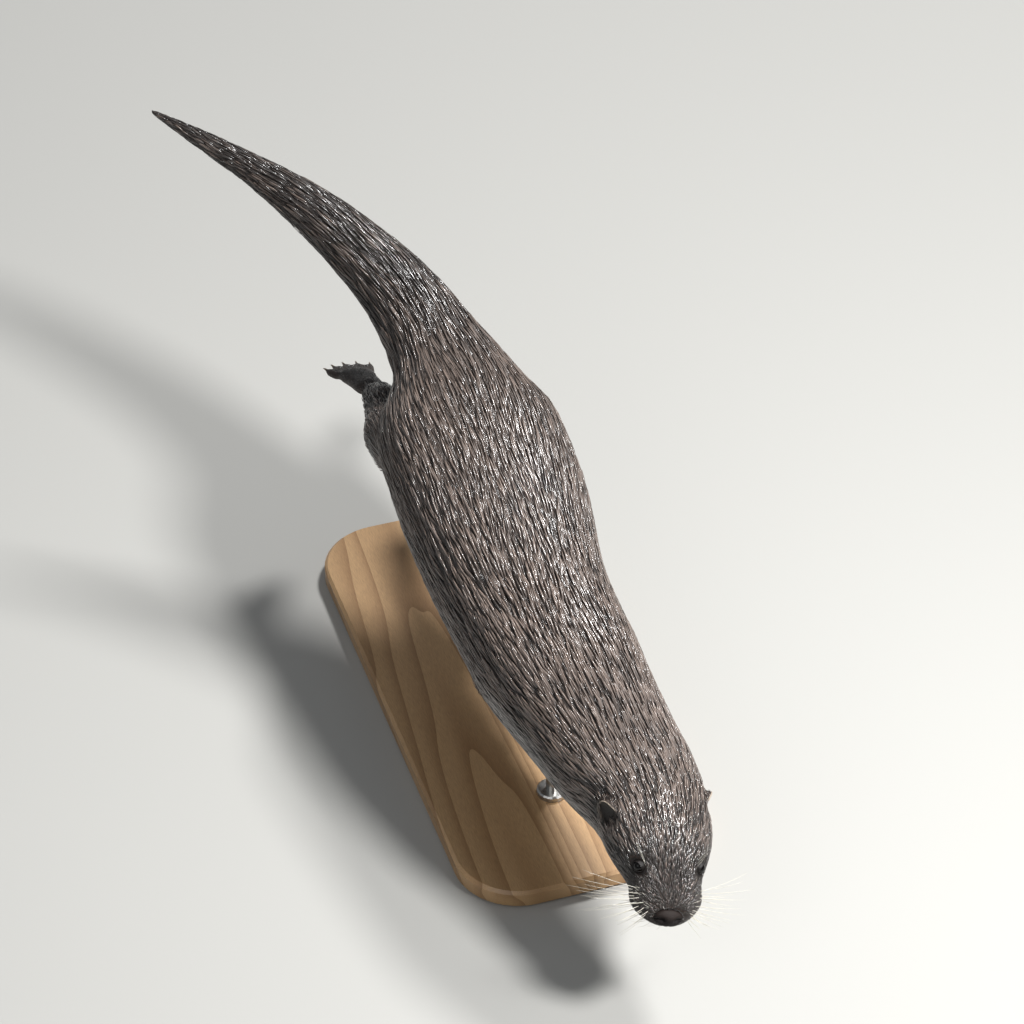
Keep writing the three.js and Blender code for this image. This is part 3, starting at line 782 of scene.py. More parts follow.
lockForm = {
    "seed": 11,
    "quick": 1.7,
    "tries": 2.4,              # places tried for each root that is kept
    "bareFrom": 0.5,           # share of bareness from which no lock grows
    "turn": 2.5,               # degrees by which a lock strays from the lie at each step
    "straight": 0.3,           # share of its own way that a lock keeps at each step
    "lengthSpread": 0.28,
    "widthSpread": 0.3,
    "riseSpread": (0.8, 1.0),
    "gather": 0.45,            # share by which tips gather towards their neighbours'
    "gatherPower": 1.5,        # how late along the lock they do so
    "gatherEvery": 10,         # one lock in so many is gathered to
    # a lock is shortened by a quarter until its tip is off skin that is this bare
    "clearAt": (1.0, 0.75, 0.5, 0.25), "clearBare": 0.4, "clearBack": 0.15,
    # wet strands stand on a lower, darker layer: share, then width, rise, thickness and tone;
    # the strands' lighter tone is partly painted highlight, the layer's darker tone painted shade
    # between the strands
    "strandShare": 0.14,
    "strand": (1.55, 1.12, 1.15, 0.07),
    "under": (0.9, 0.8, 0.55, -0.13),
    # how much more the strands stand out, at metres back from the nose, and what that adds
    # to their number, their width and their rise; it also spreads their tones apart, which
    # deepens the painted highlight on the strands and the painted shade under them
    "crispPlaces": (0.0, 0.04, 0.08, 0.28, 0.45),
    "crisp": (0.4, 1.5, 2.2, 1.8, 0.4),
    "crispShare": 0.5, "crispWide": 0.08, "crispRise": 0.12,
    # tones run from 0 to 1; the tail is darker as painted shade, and the muzzle darker, partly its
    # own colour and partly painted shade
    "tone": 0.5,
    "tonePlaces": (0.0, 0.03, 0.09, 0.6, 0.76),
    "tones": (-0.46, -0.45, -0.14, -0.03, -0.5),
    "toneSpread": 0.2,
    "toneWave": 0.1, "toneWaveLong": 30 * mm,
    # dark fur and painted shade round the eyes, and painted shade in the ears' hollows
    "darkFurAndShade": 0.8,          # in the dark fields round the eyes and ears
    "paleSpread": 0.06,
}
# the map: a small patch for each lock, at its root's place on the unwrapped skin
mapForm = {
    "thin": 0.12,              # share of the skin's triangles that are unwrapped
    "fold": 70,                # degrees between the faces of one island
    "margin": 0.004,
    "start": 0.003, "size": 0.99,
    "patch": 0.003,
}
# along a lock: place, half width, height over the skin and thickness, as shares
longLock = {
    "at": (0, 0.24, 0.5, 0.78, 1), "wide": (0.5, 1, 0.95, 0.62, 0),
    "rise": (-0.3, 0.55, 0.9, 1.0, 0.88), "thick": (0.4, 0.75, 0.8, 0.6, 0),
}
shortLock = {
    "at": (0, 0.35, 0.7, 1), "wide": (0.6, 1, 0.75, 0),
    "rise": (-0.3, 0.7, 1.0, 0.88), "thick": (0.5, 0.8, 0.6, 0),
}

triangles = readArray(skin.data.polygons, "vertices", 3)
skinTree = BVHTree.FromPolygons(lay["points"].tolist(), triangles.tolist())


def blended(name, faces, shares):
    # a field of the skin at places given by triangle and corner shares
    values = lay[name][triangles[faces]]
    if values.ndim == 2:
        return (values * shares).sum(1)
    return (values * shares[:, :, None]).sum(1)


def cornerShares(places, faces):
    # how near each place lies to the three corners of its triangle
    a, b, c = (lay["points"][triangles[faces, i]] for i in range(3))
    across, down, to = b - a, c - a, places - a
    aa, ab, bb = (across * across).sum(1), (across * down).sum(1), (down * down).sum(1)
    ta, tb = (to * across).sum(1), (to * down).sum(1)
    whole = np.maximum(aa * bb - ab * ab, 1e-20)
    second = (bb * ta - ab * tb) / whole
    third = (aa * tb - ab * ta) / whole
    shares = np.clip(np.stack([1 - second - third, second, third], axis=1), 0, 1)
    return shares / shares.sum(1, keepdims=True)


def onSkin(points):
    found = [skinTree.find_nearest(point) for point in points.tolist()]
    places = np.array([hit[0] for hit in found])
    faces = np.array([hit[2] for hit in found])
    return places, faces, cornerShares(places, faces)


def scatterRoots(draw, coarse):
    # roots over the whole skin, none nearer to another than the coat's spacing there
    corners = lay["points"][triangles]
    across, down = corners[:, 1] - corners[:, 0], corners[:, 2] - corners[:, 0]
    areas = np.linalg.norm(np.cross(across, down), axis=1) / 2
    spacing = coatValue("spacing", lay["stations"], lay["masks"]) * coarse
    faceSpacing = spacing[triangles].mean(1)
    weights = areas / faceSpacing ** 2 * (lay["bare"][triangles].mean(1) < lockForm["bareFrom"])
    count = int(weights.sum() * lockForm["tries"])
    faces = draw.choice(len(triangles), size=count, p=weights / weights.sum())
    shares = draw.dirichlet((1, 1, 1), size=count)
    places = blended("points", faces, shares)
    tree = pointTree(places.tolist())
    taken = np.zeros(count, bool)
    kept = []
    for i, (place, reach) in enumerate(zip(places.tolist(), faceSpacing[faces].tolist())):
        if taken[i]:
            continue
        kept.append(i)
        for _, near, _ in tree.find_range(place, reach):
            taken[near] = True
    return places[kept], faces[kept], shares[kept]


def clearLengths(places, faces, shares, lengths):
    # a lock stops short of bare skin, such as an eye or the hollow of an ear
    lies = blended("lie", faces, shares)
    made = lengths.copy()
    for share in lockForm["clearAt"]:
        _, reached, corners = onSkin(places + lies * (lengths * share)[:, None])
        onBare = blended("bare", reached, corners) > lockForm["clearBare"]
        made = np.where(onBare, lengths * (share - lockForm["clearBack"]), made)
    return made


def marchLocks(places, faces, shares, lengths, turns, shape):
    # each lock's middle line along the skin, with the skin's normal and the side way
    steps = np.diff(shape["at"])
    normals = unit(blended("normals", faces, shares))
    lies = blended("lie", faces, shares)
    line, normalLine, sideLine = [], [], []
    for k in range(len(shape["at"])):
        lies = lies * np.cos(turns)[:, None] + np.cross(normals, lies) * np.sin(turns)[:, None]
        lies = unit(lies - normals * (lies * normals).sum(1, keepdims=True))
        line.append(places)
        normalLine.append(normals)
        sideLine.append(np.cross(normals, lies))
        if k == len(steps):
            break
        ahead = places + lies * (lengths * steps[k])[:, None]
        places, faces, shares = onSkin(ahead)
        normals = unit(blended("normals", faces, shares))
        kept = lockForm["straight"]
        lies = kept * lies + (1 - kept) * blended("lie", faces, shares)
    return np.stack(line, 1), np.stack(normalLine, 1), np.stack(sideLine, 1)


def gathered(line, draw):
    # tips lean towards the tip of a lock near them, so that the coat falls in wet strands
    leaders = np.flatnonzero(draw.random(len(line)) < 1 / lockForm["gatherEvery"])
    tree = pointTree(line[leaders, 0])
    nearest = leaders[[tree.find(place)[1] for place in line[:, 0].tolist()]]
    along = np.linspace(0, 1, line.shape[1])
    pull = (along ** lockForm["gatherPower"] * lockForm["gather"])[None, :, None]
    shift = (line[nearest] - line) * pull
    along = unit(line[:, -1] - line[:, 0])[:, None, :]
    return line + shift - along * (shift * along).sum(2, keepdims=True)


def lockFaces(count, rings):
    # three-sided prisms that end in a point: quads along, a cap at the root, and an
    # underside that isn't shaded smooth
    stride = rings * 3 + 1
    quads = []
    for k in range(rings - 1):
        for i in range(3):
            j = (i + 1) % 3
            quads.append((3 * k + i, 3 * k + j, 3 * k + 3 + j, 3 * k + 3 + i))
    last = 3 * (rings - 1)
    threes = [(last + i, last + (i + 1) % 3, stride - 1) for i in range(3)] + [(2, 1, 0)]
    starts = (np.arange(count) * stride)[:, None, None]
    quads = (np.array(quads)[None] + starts).reshape(-1, 4)
    threes = (np.array(threes)[None] + starts).reshape(-1, 3)
    smoothQuads = np.tile([False, True, True], count * (rings - 1))
    smoothThrees = np.tile([False, True, True, False], count)
    return quads, threes, np.concatenate([smoothQuads, smoothThrees])


def meshFromArrays(name, points, quads, threes, smooth):
    mesh = bpy.data.meshes.new(name)
    loops = np.concatenate([quads.ravel(), threes.ravel()])
    sizes = np.concatenate([np.full(len(quads), 4), np.full(len(threes), 3)])
    starts = np.concatenate([[0], np.cumsum(sizes)[:-1]])
    mesh.vertices.add(len(points))
    mesh.vertices.foreach_set("co", points.astype(np.float32).ravel())
    mesh.loops.add(len(loops))
    mesh.loops.foreach_set("vertex_index", loops.astype(np.int32))
    mesh.polygons.add(len(sizes))
    mesh.polygons.foreach_set("loop_start", starts.astype(np.int32))
    mesh.polygons.foreach_set("use_smooth", smooth)
    mesh.update(calc_edges=True)
    mesh.validate()
    return mesh


def unwrappedRoots(places):
    # where each root falls on an unwrap of a plainer copy of the skin
    copy = newObject("unwrap", skin.data.copy())
    modifier = copy.modifiers.new("plain", "DECIMATE")
    modifier.ratio = mapForm["thin"]
    appliedMesh(copy)
    bpy.context.view_layer.objects.active = copy
    copy.select_set(True)
    bpy.ops.object.mode_set(mode="EDIT")
    bpy.ops.mesh.select_all(action="SELECT")
    bpy.ops.uv.smart_project(angle_limit=math.radians(mapForm["fold"]), island_margin=mapForm["margin"])
    bpy.ops.object.mode_set(mode="OBJECT")
    mesh = copy.data
    corners = readArray(mesh.uv_layers.active.data, "uv", 2, np.float32)
    owned = [tuple(face.vertices) for face in mesh.polygons]
    tree = BVHTree.FromPolygons(coordinates(mesh).tolist(), owned)
    faces = np.array([tree.find_nearest(place)[2] for place in places.tolist()])
    first = readArray(mesh.polygons, "loop_start")[faces]
    made = (corners[first] + corners[first + 1] + corners[first + 2]) / 3
    bpy.data.objects.remove(copy)
    bpy.data.meshes.remove(mesh)
    return made


def growLocks(name, roots, shape, material, slotName):
    # one piece of coat from its roots
    count = len(roots["places"])
    rings = len(shape["at"]) - 1
    stride = rings * 3 + 1
    half = roots["width"][:, None] * np.array(shape["wide"]) / 2
    rise = roots["rise"][:, None] * np.array(shape["rise"])
    thick = roots["thick"][:, None] * np.array(shape["thick"]) / 2
    middle = roots["line"] + roots["normalLine"] * rise[:, :, None]
    side = roots["sideLine"] * half[:, :, None]
    top = middle + roots["normalLine"] * thick[:, :, None]
    ring = np.stack([middle - side, middle + side, top], axis=2)[:, :-1]
    points = np.concatenate([ring.reshape(count, rings * 3, 3), middle[:, -1:]], axis=1)
    mesh = meshFromArrays(name, points.reshape(-1, 3), *lockFaces(count, rings))
    along = np.concatenate([np.repeat(shape["at"][:-1], 3), [1.0]])
    across = np.concatenate([np.tile([-1.0, 1.0, 0.0], rings), [0.0]])
    alongAll, acrossAll = np.tile(along, count), np.tile(across, count)
    setAttribute(mesh, "along", alongAll)
    for field in ("tone", "pale"):
        setAttribute(mesh, field, np.repeat(roots[field], stride))
    # the grain is in metres across and along a lock, and each lock has its own layer of it
    grain = np.stack([acrossAll * np.repeat(roots["width"] / 2, stride),
                      alongAll * np.repeat(roots["length"], stride),
                      np.repeat(roots["tone"] * 0.5, stride)], axis=1)
    setAttribute(mesh, "grain", grain)
    low, high = roots["uv"].min(0), roots["uv"].max(0)
    place = mapForm["start"] + (roots["uv"] - low) / np.maximum(high - low, 1e-6) * mapForm["size"]
    patch = np.stack([acrossAll * 0.5, alongAll - 0.5], axis=1) * mapForm["patch"]
    pointMap = np.repeat(place, stride, axis=0) + patch
    layer = mesh.uv_layers.new(name="OFBake")
    owners = readArray(mesh.loops, "vertex_index")
    layer.data.foreach_set("uv", pointMap[owners].astype(np.float32).ravel())
    return keepPiece(newObject(name, mesh), slotName, material)


# Wet guard hair: keratin with a film of water, which gives small bright glints on dark brown.
# It is dark at the root, partly the hair's own colour and partly painted shade where the locks
# lie over one another, and greyer at the tip
coatLook = {
    "rootColour": "#231c1a", "tipColour": "#64574f",
    "paleRoot": "#4f4b47", "paleTip": "#8f8b87",
    "tipFrom": 0.6,            # share of a lock at which it has its tip's colour
    "levels": (0.2, 1.55),     # the darkest and the palest tone
    # single hairs along a lock: width, which is twice a real hair's so that it shows, length,
    # and how unlike one lock's are to the next's
    "hair": 0.22 * mm, "hairLong": 5 * mm, "unlike": 400,
    "groove": {"Strength": 0.35, "Distance": 0.15 * mm},
    "shader": {"Roughness": 0.38, "IOR": 1.55, "Specular IOR Level": 0.4,
               "Coat Weight": 0.75, "Coat Roughness": 0.14, "Coat IOR": 1.6},
}


def coatMaterial():
    material, tree, shader = newMaterial("wet guard hair", coatLook["shader"])
    along, tone, pale = (addNode(tree, "Attribute", {"attribute_name": field}).outputs["Fac"]
                         for field in ("along", "tone", "pale"))
    along = addNode(tree, "MapRange", {"From Max": coatLook["tipFrom"]}, {"Value": along}).outputs["Result"]
    colour = {"data_type": "RGBA"}
    brown, cream = (addNode(tree, "Mix", {**colour, 6: linear(coatLook[root]), 7: linear(coatLook[tip])},
                            {0: along}).outputs[2]
                    for root, tip in (("rootColour", "tipColour"), ("paleRoot", "paleTip")))
    marked = addNode(tree, "Mix", colour, {0: pale, 6: brown, 7: cream}).outputs[2]
    shadeBy(tree, shader, marked, tone, (0, 1), coatLook["levels"])
    grain = addNode(tree, "Attribute", {"attribute_name": "grain"}).outputs["Vector"]
    stretch = (1 / coatLook["hair"], 1 / coatLook["hairLong"], coatLook["unlike"])
    hairs = drawnNoise(tree, grain, stretch, {"Detail": 1.0})
    bump = addNode(tree, "Bump", coatLook["groove"], {"Height": hairs})
    tree.links.new(bump.outputs[0], shader.inputs["Normal"])
    return material


def rootsOf(draw, coarse):
    # every lock's root, with its sizes and its colours
    places, faces, shares = scatterRoots(draw, coarse)
    count = len(places)
    stations = blended("stations", faces, shares)
    masks = blended("masks", faces, shares)
    lengthVary = 1 + lockForm["lengthSpread"] * draw.uniform(-1, 1, count)
    widthVary = 1 + lockForm["widthSpread"] * draw.uniform(-1, 1, count)
    crisp = np.interp(stations, lockForm["crispPlaces"], lockForm["crisp"])
    strand = draw.random(count) < lockForm["strandShare"] * (1 + lockForm["crispShare"] * crisp)
    layers = zip(lockForm["strand"], lockForm["under"])
    wide, rise, thick, tone = (np.where(strand, *pair) for pair in layers)
    wide = wide * np.where(strand, 1 + lockForm["crispWide"] * crisp, 1)
    rise = rise + np.where(strand, lockForm["crispRise"], -lockForm["crispRise"]) * crisp
    # strand tones lighter, under-layer tones darker: painted highlight and shade; the tail darker: painted
    # shade
    tone = tone * (1 + crisp) + np.interp(stations, lockForm["tonePlaces"], lockForm["tones"])
    wave = lockForm["toneWave"] * rippled(places, lockForm["toneWaveLong"], seed=5)
    return {
        "places": places, "faces": faces, "shares": shares,
        "owner": lay["owners"][triangles[faces, 0]],
        "length": coatValue("length", stations, masks) * lengthVary,
        "width": coatValue("width", stations, masks) * widthVary * coarse * wide,
        "rise": coatValue("depth", stations, masks) * draw.uniform(*lockForm["riseSpread"], count) * rise,
        "thick": coatValue("width", stations, masks) * coarse * thick,
        # darker round the eyes and in the ears' hollows: partly dark fur, partly painted shade
        "tone": np.clip(lockForm["tone"] + tone + lockForm["toneSpread"] * draw.normal(size=count) + wave
                        - lockForm["darkFurAndShade"] * blended("dark", faces, shares), 0, 1),
        "pale": np.clip(blended("pale", faces, shares)
                        + lockForm["paleSpread"] * draw.normal(size=count), 0, 1),
        "turn": np.radians(lockForm["turn"]) * draw.normal(size=count),
        "uv": unwrappedRoots(places),
        "onRight": alongBody(places)[2][:, 1] > 0,
    }


def coatPieces(roots):
    # the coat in pieces, by the solid under it and by side
    names = np.array(fleshNodes)[roots["owner"]]
    names = np.where(np.isin(names, earNodes), "head", names)
    pieces = {}
    for part in ("head", "neck", "chest", "loin", "rump"):
        for side, chosen in (("left", ~roots["onRight"]), ("right", roots["onRight"])):
            pieces[part + "_" + side] = (names == part) & chosen
    pieces["tail_base"] = names == "tail_base"
    pieces["tail"] = np.isin(names, ["tail_middle", "tail_tip"])
    pieces["legs"] = np.isin(names, legNodes)
    pieces["feet"] = np.isin(names, footNodes)
    return pieces


def growCoat():
    draw = np.random.default_rng(lockForm["seed"])
    roots = rootsOf(draw, 1.0)
    wetFur = coatMaterial()
    slots = {"head": "head_coat", "legs": "limb_coat", "feet": "limb_coat"}  # the rest is body_coat
    total = 0
    for part, chosen in coatPieces(roots).items():
        kind = part.split("_")[0]
        shape = shortLock if kind in slots else longLock
        index = np.flatnonzero(chosen)
        made = {key: roots[key][index] for key in roots}
        if kind in ("head", "feet"):
            made["length"] = clearLengths(*(made[key] for key in ("places", "faces", "shares", "length")))
        start = (made[key] for key in ("places", "faces", "shares", "length", "turn"))
        line, normalLine, sideLine = marchLocks(*start, shape)
        made.update(line=gathered(line, draw), normalLine=normalLine, sideLine=sideLine)
        piece = growLocks("coat_" + part, made, shape, wetFur, slots.get(kind, "body_coat"))
        facets = sum(len(face.vertices) - 2 for face in piece.data.polygons)
        total += facets
        print("   coat", part, len(index), "locks,", facets, "triangles")
    print("6 coat grown,", total, "triangles")


growCoat()


# Skin under the wet coat: dark and soft with short damp fur, its dark brown partly painted shade
# in the gaps between the locks, and bare, finely pored and a little shiny round the eyes and on
# the feet
skinLook = {
    "underColour": "#30251f",
    # the colour of each mark, in the order that they lie over one another; the ears' pale edge is
    # partly painted highlight, and bare skin in their hollows partly painted shade
    "marks": {"pale": "#6b645b", "bare": "#16110f", "foot": "#352c28", "edge": "#a89a8b"},
    # short under-fur: width and length of its streaks, the noise's span and the levels it gives
    "streakWide": 1.1 * mm, "streakLong": 11 * mm,
    "streakSpan": (0.3, 0.7), "streakLevels": (0.65, 1.3),
    "streakBump": {"Strength": 0.6, "Distance": 0.8 * mm},
    "poreSize": 0.7 * mm,            # coarser than real pores, so that they show
    "poreBump": {"Strength": 0.25, "Distance": 0.2 * mm},
    "shader": {"Roughness": 0.5, "IOR": 1.4, "Specular IOR Level": 0.45},
}


def skinMaterial():
    material, tree, shader = newMaterial("damp otter skin", skinLook["shader"])
    settings, links = {"data_type": "RGBA", 6: linear(skinLook["underColour"])}, {}
    for field, hexColour in skinLook["marks"].items():
        share = addNode(tree, "Attribute", {"attribute_name": field}).outputs["Fac"]
        settings[7] = linear(hexColour)
        marked = addNode(tree, "Mix", settings, {0: share, **links}).outputs[2]
        links = {6: marked}
    # the streaks run back along the straightened body
    straight = addNode(tree, "Attribute", {"attribute_name": "straight"}).outputs["Vector"]
    stretch = (1 / skinLook["streakLong"], 1 / skinLook["streakWide"], 1 / skinLook["streakWide"])
    fur = drawnNoise(tree, straight, stretch, {"Detail": 3.0})
    shadeBy(tree, shader, marked, fur, skinLook["streakSpan"], skinLook["streakLevels"])
    furBump = addNode(tree, "Bump", skinLook["streakBump"], {"Height": fur}).outputs[0]
    place = addNode(tree, "TexCoord").outputs["Object"]
    pores = addNode(tree, "TexVoronoi", {"Scale": 1 / skinLook["poreSize"]}, {"Vector": place})
    bump = addNode(tree, "Bump", skinLook["poreBump"],
                   {"Height": pores.outputs["Distance"], "Normal": furBump})
    tree.links.new(bump.outputs[0], shader.inputs["Normal"])
    return material


skin.data.shade_smooth()
keepPiece(skin, "body_coat", skinMaterial(), *fleshNodes)


# Eyes: dark brown and wet, so that they show as glossy black beads
eyeLook = {
    "pupilColour": "#030202", "irisColour": "#080504", "whiteColour": "#0f0b09",
    # where each colour starts, as shares of the radius seen from the front
    "pupil": 0.36, "iris": 0.72, "white": 0.78,
    "cornea": 0.09,                  # bulge, as a share of the radius
    "corneaFrom": 0.66,              # how far forward on the eyeball the bulge starts
    "segments": (40, 28),            # round and from pole to pole
    "shader": {"Roughness": 0.12, "IOR": 1.36},
}


def eyeMaterial():
    material, tree, shader = newMaterial("wet dark cornea", eyeLook["shader"])
    ring = addNode(tree, "Attribute", {"attribute_name": "ring"}).outputs["Fac"]
    ramp = addNode(tree, "ValToRGB", {}, {"Fac": ring})
    stops = ramp.color_ramp.elements
    stops.new(eyeLook["white"])
    for stop, part in zip(stops, ("pupil", "iris", "white")):
        stop.position = eyeLook[part]
        stop.color = linear(eyeLook[part + "Colour"])
    tree.links.new(ramp.outputs["Color"], shader.inputs["Base Color"])
    return material


def makeEye(name, material):
    middle, radius, axes = eyeFrame(name)
    shaped = bmesh.new()
    around, down = eyeLook["segments"]
    bmesh.ops.create_uvsphere(shaped, u_segments=around, v_segments=down, radius=radius)
    mesh = meshFrom(shaped, "eyeball_" + name)
    points = coordinates(mesh)
    forward = points @ axes[0] / radius
    rho = np.sqrt(np.maximum(1 - forward ** 2, 0))
    bulge = eyeLook["cornea"] * softStep(forward, eyeLook["corneaFrom"], 1.0)
    setCoordinates(mesh, points * (1 + bulge[:, None]) + middle)
    setAttribute(mesh, "ring", np.where(forward > 0, rho, 1.0))
    mesh.shade_smooth()
    keepPiece(newObject("eyeball_" + name.split("_")[1], mesh), "eye", material, name)


cornea = eyeMaterial()
for eyeName in eyeNodes:
    makeEye(eyeName, cornea)
print("7 skin finished, eyes made")


# The nose: bare, pebbled leather, black-brown and damp, browner on top
noseForm = {
    "softRounds": (3, 3, 0),         # after each of the steps that make its triangles finer
    # all shares of the pad's half sizes; places and ways are forward, out and up
    "nostril": (0.6, 0.6, 0.42),
    "pitWide": 0.33, "pitDeep": 0.45,
    # a nostril is a comma: a round pit, and a slit that runs out, back and down from it
    "slitWay": (-0.7, 0.7, -0.3),
    "slitWide": 0.13, "slitBend": 0.5, "slitDepth": 0.8,
    "slitStart": (-0.05, 0.1), "slitEnd": (0.45, 0.75),
    # the groove from between the nostrils down to the lip
    "grooveDeep": 0.08, "grooveWide": 0.07,
    "grooveFront": (0.1, 0.5), "grooveLow": (-0.1, 0.4),
    # the browner top leans back, and stops at the nostrils
    "topLean": 0.5, "topFrom": (0.1, 0.8), "topPits": 2,
    "pebble": 0.8 * mm,
    "pebbleBump": {"Strength": 0.8, "Distance": 0.3 * mm, "invert": True},
    "colour": "#121010", "edgeColour": "#211b1a", "topColour": "#241d1a",
    "shader": {"Roughness": 0.6, "IOR": 1.4, "Specular IOR Level": 0.22},
}


def noseMaterial():
    material, tree, shader = newMaterial("damp nose leather", noseForm["shader"])
    place = addNode(tree, "TexCoord").outputs["Object"]
    cells = addNode(tree, "TexVoronoi", {"Scale": 1 / noseForm["pebble"]}, {"Vector": place})
    ramp = addNode(tree, "ValToRGB", {}, {"Fac": cells.outputs["Distance"]})
    for stop, key in zip(ramp.color_ramp.elements, ("edgeColour", "colour")):
        stop.color = linear(noseForm[key])
    top = addNode(tree, "Attribute", {"attribute_name": "top"}).outputs["Fac"]
    shaded = addNode(tree, "Mix", {"data_type": "RGBA", 7: linear(noseForm["topColour"])},
                     {0: top, 6: ramp.outputs["Color"]}).outputs[2]
    tree.links.new(shaded, shader.inputs["Base Color"])
    bump = addNode(tree, "Bump", noseForm["pebbleBump"], {"Height": cells.outputs["Distance"]})
    tree.links.new(bump.outputs[0], shader.inputs["Normal"])
    return material


def makeNose():
    shaped = mergedNode("nose_pad")
    bmesh.ops.triangulate(shaped, faces=shaped.faces)
    for rounds in noseForm["softRounds"]:
        bmesh.ops.subdivide_edges(shaped, edges=shaped.edges, cuts=1, use_grid_fill=True)
        softenVerts(shaped, shaped.verts, rounds)
    mesh = meshFrom(shaped, "nose")
    local = inHead(coordinates(mesh))
    low, high = local.min(0), local.max(0)
    middle, half = (high + low) / 2, (high - low) / 2
    spot = (local - middle) / half
    pits = np.zeros(len(spot))
    for side in (1, -1):
        centre = np.array(noseForm["nostril"]) * (1, side, 1)
        tail = unit(np.array(noseForm["slitWay"]) * (1, side, 1))
        across = unit(np.cross(tail, centre))
        along, off = (spot - centre) @ tail, (spot - centre) @ across
        pit = np.exp(-(along ** 2 + off ** 2) / noseForm["pitWide"] ** 2)
        bent = off - noseForm["slitBend"] * side * along ** 2
        slit = bell(bent, 0, noseForm["slitWide"]) * softStep(along, *noseForm["slitStart"])
        slit *= 1 - softStep(along, *noseForm["slitEnd"])
        pits = np.maximum(pits, np.maximum(pit, noseForm["slitDepth"] * slit) * ((spot @ centre) > 0))
    groove = bell(spot[:, 1], 0, noseForm["grooveWide"]) * softStep(spot[:, 0], *noseForm["grooveFront"])
    groove *= softStep(-spot[:, 2], *noseForm["grooveLow"])
    sunk = noseForm["pitDeep"] * pits + noseForm["grooveDeep"] * groove
    setCoordinates(mesh, fromHead(middle + spot * half * (1 - sunk)[:, None]))
    top = softStep(spot[:, 2] - noseForm["topLean"] * spot[:, 0], *noseForm["topFrom"])
    setAttribute(mesh, "top", top * (1 - np.clip(noseForm["topPits"] * pits, 0, 1)))
    mesh.shade_smooth()
    keepPiece(newObject("nose", mesh), "nose_leather", noseMaterial(), "nose_pad")


makeNose()


# Claws: short, blunt horn with a low gloss, brown at the root and paler at the tip
clawLook = {
    "rootColour": "#3a2f29", "tipColour": "#8a7a68",
    "streak": 0.5 * mm, "streakDrawn": 0.15,  # width, and how much coarser along the body
    "mottle": 0.5,                   # how far the streaks shift the change from root to tip
    "sides": 12, "steps": 7,
    "buried": 4.5 * mm,              # how far the claw's root lies inside the toe
    "worn": 0.8,                     # share of the full length that is left
    "arch": 0.09,                    # share of its length
    "stout": 2.1 * mm,               # half width at the root
    "flat": 0.75,                    # its width against its height
    "taper": (0.8, 1.6),             # share lost at the tip, and how late it is lost
    "shader": {"Roughness": 0.35, "IOR": 1.54},
}


def clawMaterial():
    material, tree, shader = newMaterial("claw horn", clawLook["shader"])
    along = addNode(tree, "Attribute", {"attribute_name": "along"}).outputs["Fac"]
    place = addNode(tree, "TexCoord").outputs["Object"]
    fine = 1 / clawLook["streak"]
    noise = drawnNoise(tree, place, (clawLook["streakDrawn"] * fine, fine, fine), {"Detail": 2.0})
    mottle = clawLook["mottle"]
    mixed = addNode(tree, "Math", {"operation": "MULTIPLY_ADD", 1: mottle}, {0: noise, 2: along}).outputs[0]
    shifted = addNode(tree, "Math", {"operation": "SUBTRACT", 1: mottle / 2}, {0: mixed}).outputs[0]
    colour = addNode(tree, "Mix", {"data_type": "RGBA", 6: linear(clawLook["rootColour"]),
                                   7: linear(clawLook["tipColour"])}, {0: shifted}).outputs[2]
    tree.links.new(colour, shader.inputs["Base Color"])
    return material


def plainClaw(shaped):
    # a cone a unit long, cut across so that it can be curved; its width is set later
    cone = bmesh.ops.create_cone(
        shaped, cap_ends=True, segments=clawLook["sides"], radius1=1, radius2=0.3, depth=1)
    parts = cone["verts"]
    parts += list({edge for vertex in parts for edge in vertex.link_edges})
    parts += list({face for vertex in cone["verts"] for face in vertex.link_faces})
    for step in range(1, clawLook["steps"]):
        height = step / clawLook["steps"] - 0.5
        cut = bmesh.ops.bisect_plane(shaped, geom=parts, plane_co=(0, 0, height), plane_no=(0, 0, 1))
        parts = cut["geom"]
    return [item for item in parts if isinstance(item, bmesh.types.BMVert)]


def makeClaws(foot, material):
    shaped = bmesh.new()
    layer = shaped.verts.layers.float.new("along")
    sole = soleWay(foot)
    taper, late = clawLook["taper"]
    for name in clawNames(foot):
        base, tip = clawLine(foot, name)
        way = unit(tip - base)
        start = base - way * clawLook["buried"]
        length = np.linalg.norm(tip - start) * clawLook["worn"]
        across = unit(np.cross(way, sole))
        under = np.cross(across, way)
        for vertex in plainClaw(shaped):
            share = vertex.co.z + 0.5
            spoke = np.array(vertex.co.xy.normalized())
            thick = clawLook["stout"] * (1 - taper * share ** late)
            arch = sole * length * clawLook["arch"] * math.sin(math.pi * share)
            middle = start + way * length * share - arch
            vertex.co = middle + thick * (clawLook["flat"] * spoke[0] * across + spoke[1] * under)
            vertex[layer] = share
    bmesh.ops.recalc_face_normals(shaped, faces=shaped.faces)
    mesh = meshFrom(shaped, foot.replace("_foot", "_claws"))
    mesh.shade_smooth()
    keepPiece(newObject(mesh.name, mesh), "claw", material, *clawNames(foot))


horn = clawMaterial()
for footName in footNodes:
    makeClaws(footName, horn)
print("8 nose and claws made")


